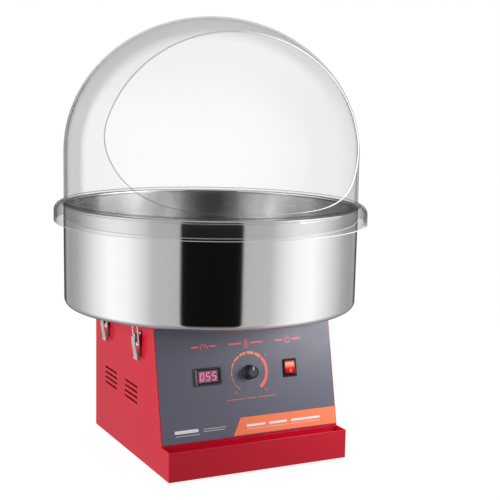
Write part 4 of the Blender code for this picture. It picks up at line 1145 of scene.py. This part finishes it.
def dome():
    rows, columns = 96, 180
    seat = BOWL_RIM + GAP
    shoulder_x = LIP_RADIUS - SHOULDER
    shoulder_z = seat + DOME_WALL - SHOULDER
    fillet = 2.0 * MM
    edge = 0.8 * MM
    vertices, faces, marks = [], [], []

    def ring(radius, height, half_turn):
        start = len(vertices)
        for column in range(columns + 1):
            turn = half_turn * (2 * column / columns - 1)
            vertices.append((radius * math.sin(turn), radius * math.cos(turn), height))
        return start

    def join(rings):
        for first, second in zip(rings, rings[1:]):
            for column in range(columns):
                faces.append((first + column, first + column + 1, second + column + 1, second + column))
                marks.append(mark_at(vertices[first], vertices[second]))

    def mark_at(*corners):
        """Which of the dome's four materials a face has, by its height and how far out it lies."""
        height = sum(corner[2] for corner in corners) / 2
        reach = sum(math.hypot(corner[0], corner[1]) for corner in corners) / 2
        if height < LIP_Z + edge:
            return 1
        if height < shoulder_z + 0.7 * SHOULDER and reach > DOME_RADIUS + fillet:
            return 3
        return 2 if seat + DOME_WALL * 0.9 < height < seat + DOME_WALL + fillet and reach > DOME_RADIUS - 0.1 * MM else 0

    ease = 0.35 * MM
    cut = [(0.0, ease), (ease, 0.0), (DOME_WALL / 2, 0.0), (DOME_WALL - ease, 0.0), (DOME_WALL, ease)]
    edges = [mouth_loop(depth, -inset, rows) for depth, inset in cut]
    outline = []
    for depth, loop in ((0.0, edges[0]), (DOME_WALL, edges[-1])):
        crown = loop[0][0]
        steps = 22
        first = math.asin(min(1.0, (crown - DOME_SPRING) / (DOME_RISE - depth)))
        cap = []
        for step in range(steps):
            lift = math.pi / 2 + (first - math.pi / 2) * step / steps
            cap.append(((DOME_RADIUS - depth) * math.cos(lift), DOME_SPRING + (DOME_RISE - depth) * math.sin(lift),
                        math.pi))
        shell = cap + [(radius, height, turn) for height, turn, radius in loop]
        outline.append(shell)
    outer, inner = outline
    skirt = [(DOME_RADIUS, height, math.pi) for height in
             (outer[-1][1] - 1 * MM, seat + DOME_WALL + fillet + 0.1 * MM)]
    skirt += [(x, z, math.pi) for x, z in arc((DOME_RADIUS + fillet, seat + DOME_WALL + fillet), fillet, 180, 225, 3)]
    skirt += [(x, z, math.pi) for x, z in arc((shoulder_x, shoulder_z), SHOULDER, 84, 0, 14)]
    skirt += [(x, z, math.pi) for x, z in arc((LIP_RADIUS - edge, LIP_Z + edge), edge, 0, -90, 4)]
    skirt += [(x, z, math.pi) for x, z in arc((LIP_RADIUS - DOME_WALL + edge, LIP_Z + edge), edge, -90, -180, 4)]
    skirt += [(x, z, math.pi) for x, z in arc((shoulder_x, shoulder_z), SHOULDER - DOME_WALL, 0, 88, 14)]
    skirt += [(DOME_RADIUS - DOME_WALL + 0.6 * MM, seat, math.pi), (DOME_RADIUS - DOME_WALL, seat + 0.8 * MM, math.pi),
              (DOME_RADIUS - DOME_WALL, inner[-1][1] - 1 * MM, math.pi)]
    chain = [ring(*spot) for spot in outer + skirt + inner[::-1]]
    join(chain)
    first_inner = len(outer) + len(skirt)
    cap_rows = len(outer) - (rows + 1)
    for sign in (0, columns):
        before = [chain[cap_rows + row] + sign for row in range(rows + 1)]
        for strip, loop in enumerate(edges[1:-1]):
            after = []
            for height, turn, radius in loop:
                angle = turn if sign else -turn
                vertices.append((radius * math.sin(angle), radius * math.cos(angle), height))
                after.append(len(vertices) - 1)
            for row in range(rows):
                faces.append((before[row], before[row + 1], after[row + 1], after[row]))
                marks.append(1 if strip < 2 else 0)
            before = after
        after = [chain[first_inner + rows - row] + sign for row in range(rows + 1)]
        for row in range(rows):
            faces.append((before[row], before[row + 1], after[row + 1], after[row]))
            marks.append(0)
    mesh = mesh_from(vertices, faces, 40, marks)
    mesh.transform(Matrix.Rotation(DOME_TURN, 4, "Z"))
    piece("clear_dome", mesh, (MATERIAL["clear_plastic"], CLEAR_EDGE_PAINTED_LIGHT, CLEAR_FOLD_PAINTED_SHADE, CLEAR_LIP), BODY_OF["dome"], ("dome",))


# ---------------------------------------------------------------- camera, floor and light
CAMERA_AT = Vector((-0.862, -1.867, 0.653))
CAMERA_FORWARD = Vector((0.4450, 0.8833, -0.1474)).normalized()
CAMERA_ROLL = math.radians(1.148)


def camera():
    data = bpy.data.cameras.new("camera")
    data.lens = 83.78
    data.sensor_width = 36
    data.clip_start, data.clip_end = 0.05, 60
    made = bpy.data.objects.new("camera", data)
    bpy.context.scene.collection.objects.link(made)
    right = CAMERA_FORWARD.cross(Vector((0, 0, 1))).normalized()
    up = right.cross(CAMERA_FORWARD)
    tilted = right * math.cos(CAMERA_ROLL) + up * math.sin(CAMERA_ROLL)
    upward = up * math.cos(CAMERA_ROLL) - right * math.sin(CAMERA_ROLL)
    rotation = Matrix((tilted, upward, -CAMERA_FORWARD)).transposed()
    made.matrix_world = Matrix.Translation(CAMERA_AT) @ rotation.to_4x4()
    bpy.context.scene.camera = made


def grey(value):
    """Linear light of a display grey from 0 to 255."""
    share = value / 255
    return share / 12.92 if share <= 0.04045 else ((share + 0.055) / 1.055) ** 2.4


# Studio walls seen in polished metal: degrees round from the camera, and the display grey there.
WALLS = [(0, 14), (22.5, 15), (24.5, 176), (45, 183), (53, 213), (60, 230), (68, 246), (84, 252), (90, 243), (102, 222),
         (112, 198), (124, 167), (140, 150), (150, 156), (155, 110), (160, 65), (170, 60), (180, 60)]
STEEL_SHARE = 0.80


def world():
    made = bpy.data.worlds.new("studio")
    bpy.context.scene.world = made
    made.use_nodes = True
    tree = made.node_tree
    tree.nodes.clear()
    graph = Graph(tree)
    direction = graph.add("ShaderNodeTexCoord").outputs["Generated"]
    heading = math.atan2(-CAMERA_FORWARD.y, -CAMERA_FORWARD.x) + math.radians(3)
    turned = graph.add("ShaderNodeVectorRotate", {"Vector": direction, "Angle": -heading}, rotation_type="Z_AXIS")
    xyz = graph.add("ShaderNodeSeparateXYZ", {"Vector": turned.outputs[0]}).outputs
    azimuth = graph.math("ABSOLUTE", graph.math("ARCTAN2", xyz["Y"], xyz["X"]))
    share = graph.math("DIVIDE", azimuth, math.pi)
    walls = graph.ramp(share, [(angle / 180, grey(value) / STEEL_SHARE) for angle, value in WALLS])
    height = graph.add("ShaderNodeMapRange", {"Value": xyz["Z"], "From Min": 0.70, "From Max": 0.97}).outputs[0]
    ceiling = graph.add("ShaderNodeMix", {"Factor": height, 6: walls, 7: (1.05, 1.05, 1.05, 1.0)}, data_type="RGBA")
    depth = graph.add("ShaderNodeMapRange", {"Value": xyz["Z"], "From Min": -0.50, "From Max": -0.95}).outputs[0]
    table = graph.add("ShaderNodeMix", {"Factor": depth, 6: ceiling.outputs[2], 7: (0.30, 0.30, 0.30, 1.0)},
                      data_type="RGBA")
    path = graph.add("ShaderNodeLightPath").outputs
    reflections = graph.add("ShaderNodeBackground", {"Color": table.outputs[2], "Strength": 1.0})
    ambient = graph.add("ShaderNodeBackground", {"Color": (1.0, 1.0, 1.0, 1.0), "Strength": 0.18})
    backdrop = graph.add("ShaderNodeBackground", {"Color": (1.0, 1.0, 1.0, 1.0), "Strength": 1.0})
    first = graph.add("ShaderNodeMixShader", {0: path["Is Glossy Ray"], 1: ambient.outputs[0], 2: reflections.outputs[0]})
    second = graph.add("ShaderNodeMixShader", {0: path["Is Camera Ray"], 1: first.outputs[0], 2: backdrop.outputs[0]})
    graph.add("ShaderNodeOutputWorld", {"Surface": second.outputs[0]})


def soft_light(name, place, target, size, power, shines=False):
    """A soft rectangular light. One that shines also shows in what reflects."""
    data = bpy.data.lights.new(name, "AREA")
    data.shape = "RECTANGLE"
    data.size, data.size_y = size
    data.energy = power
    made = bpy.data.objects.new(name, data)
    bpy.context.scene.collection.objects.link(made)
    made.location = place
    made.rotation_euler = (Vector(target) - Vector(place)).to_track_quat("-Z", "Y").to_euler()
    made.visible_glossy = shines
    made.visible_camera = False
    return made


FLOOR_RADIUS = 1.3


def studio():
    """A round pale floor that grows brighter outwards, so that it ends in the white of the backdrop."""
    sides = 96
    rim = [(FLOOR_RADIUS * math.cos(TAU * k / sides), FLOOR_RADIUS * math.sin(TAU * k / sides), 0) for k in range(sides)]
    mesh = bpy.data.meshes.new("floor")
    mesh.from_pydata(rim, [], [tuple(range(sides))])
    finish, graph, shader = new_material("studio_floor")
    ramp = graph.ramp(graph.noise(graph.place(), 3.0), [(0.3, (0.93, 0.93, 0.93)), (0.7, (0.95, 0.95, 0.95))])
    graph.tree.links.new(ramp, shader.inputs["Base Color"])
    away = graph.add("ShaderNodeVectorMath", {0: graph.place()}, operation="LENGTH").outputs["Value"]
    inputs = {"Value": away, "From Min": 0.25, "From Max": FLOOR_RADIUS * 0.9, "To Min": 0.86, "To Max": 0.835}
    graph.tree.links.new(graph.add("ShaderNodeMapRange", inputs).outputs["Result"], shader.inputs["Emission Strength"])
    shader.inputs["Emission Color"].default_value = (1.0, 1.0, 1.0, 1.0)
    shader.inputs["Roughness"].default_value = 0.9
    mesh.materials.append(finish)
    floor = bpy.data.objects.new("floor", mesh)
    floor.location.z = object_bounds()[0].z - 0.2 * MM
    floor.visible_glossy = False
    floor.visible_diffuse = False
    bpy.context.scene.collection.objects.link(floor)
    floor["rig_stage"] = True
    key = soft_light("key", (0.36, -0.52, 0.34), (0.06, -0.2, 0.12), (0.22, 0.22), 2.3, True)
    side = soft_light("side", (-1.6, -0.3, 0.5), (0, 0, 0.2), (1.2, 1.0), 27, True)
    top = soft_light("top", (0.1, -0.3, 2.4), (0, 0, 0.3), (1.8, 1.8), 30)
    back = soft_light("back", (1.0, 1.7, 0.6), (0, 0, 0.15), (1.2, 1.0), 16)
    inside = soft_light("inside", (1.3, -0.6, 1.2), (-0.15, 0.1, 0.38), (1.5, 1.5), 9, True)
    shown = [thing for thing in bpy.context.scene.objects if "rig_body" in thing and thing.name != "spun_bowl"]
    lights_only(inside, [bpy.data.objects["spun_bowl"]])
    lights_only(top, shown)
    glassy = ("clear_dome", "rocker_lens", "meter_glass", "switch_bezel", "heat_knob_body", "knob_face")
    lights_only(key, [thing for thing in shown if thing.name not in glassy])
    lights_only(side, [thing for thing in shown if thing.name != "clear_dome"])
    lights_only(back, [thing for thing in shown if thing.name != "clear_dome"])


def lights_only(light, things):
    receivers = bpy.data.collections.new("lit_by_" + light.name)
    for thing in things:
        receivers.objects.link(thing)
    light.light_linking.receiver_collection = receivers


for node_name, node in NODES.items():
    node.data.materials.clear()
    node.data.materials.append(MATERIAL[SLOT_OF[node_name]])

camera()
world()
base()
screws()
fuse()
panel_print()
meter()
knob()
switch()
latches()
head()
bowl()
dome()
studio()

bpy.context.scene.view_settings.view_transform = "Standard"
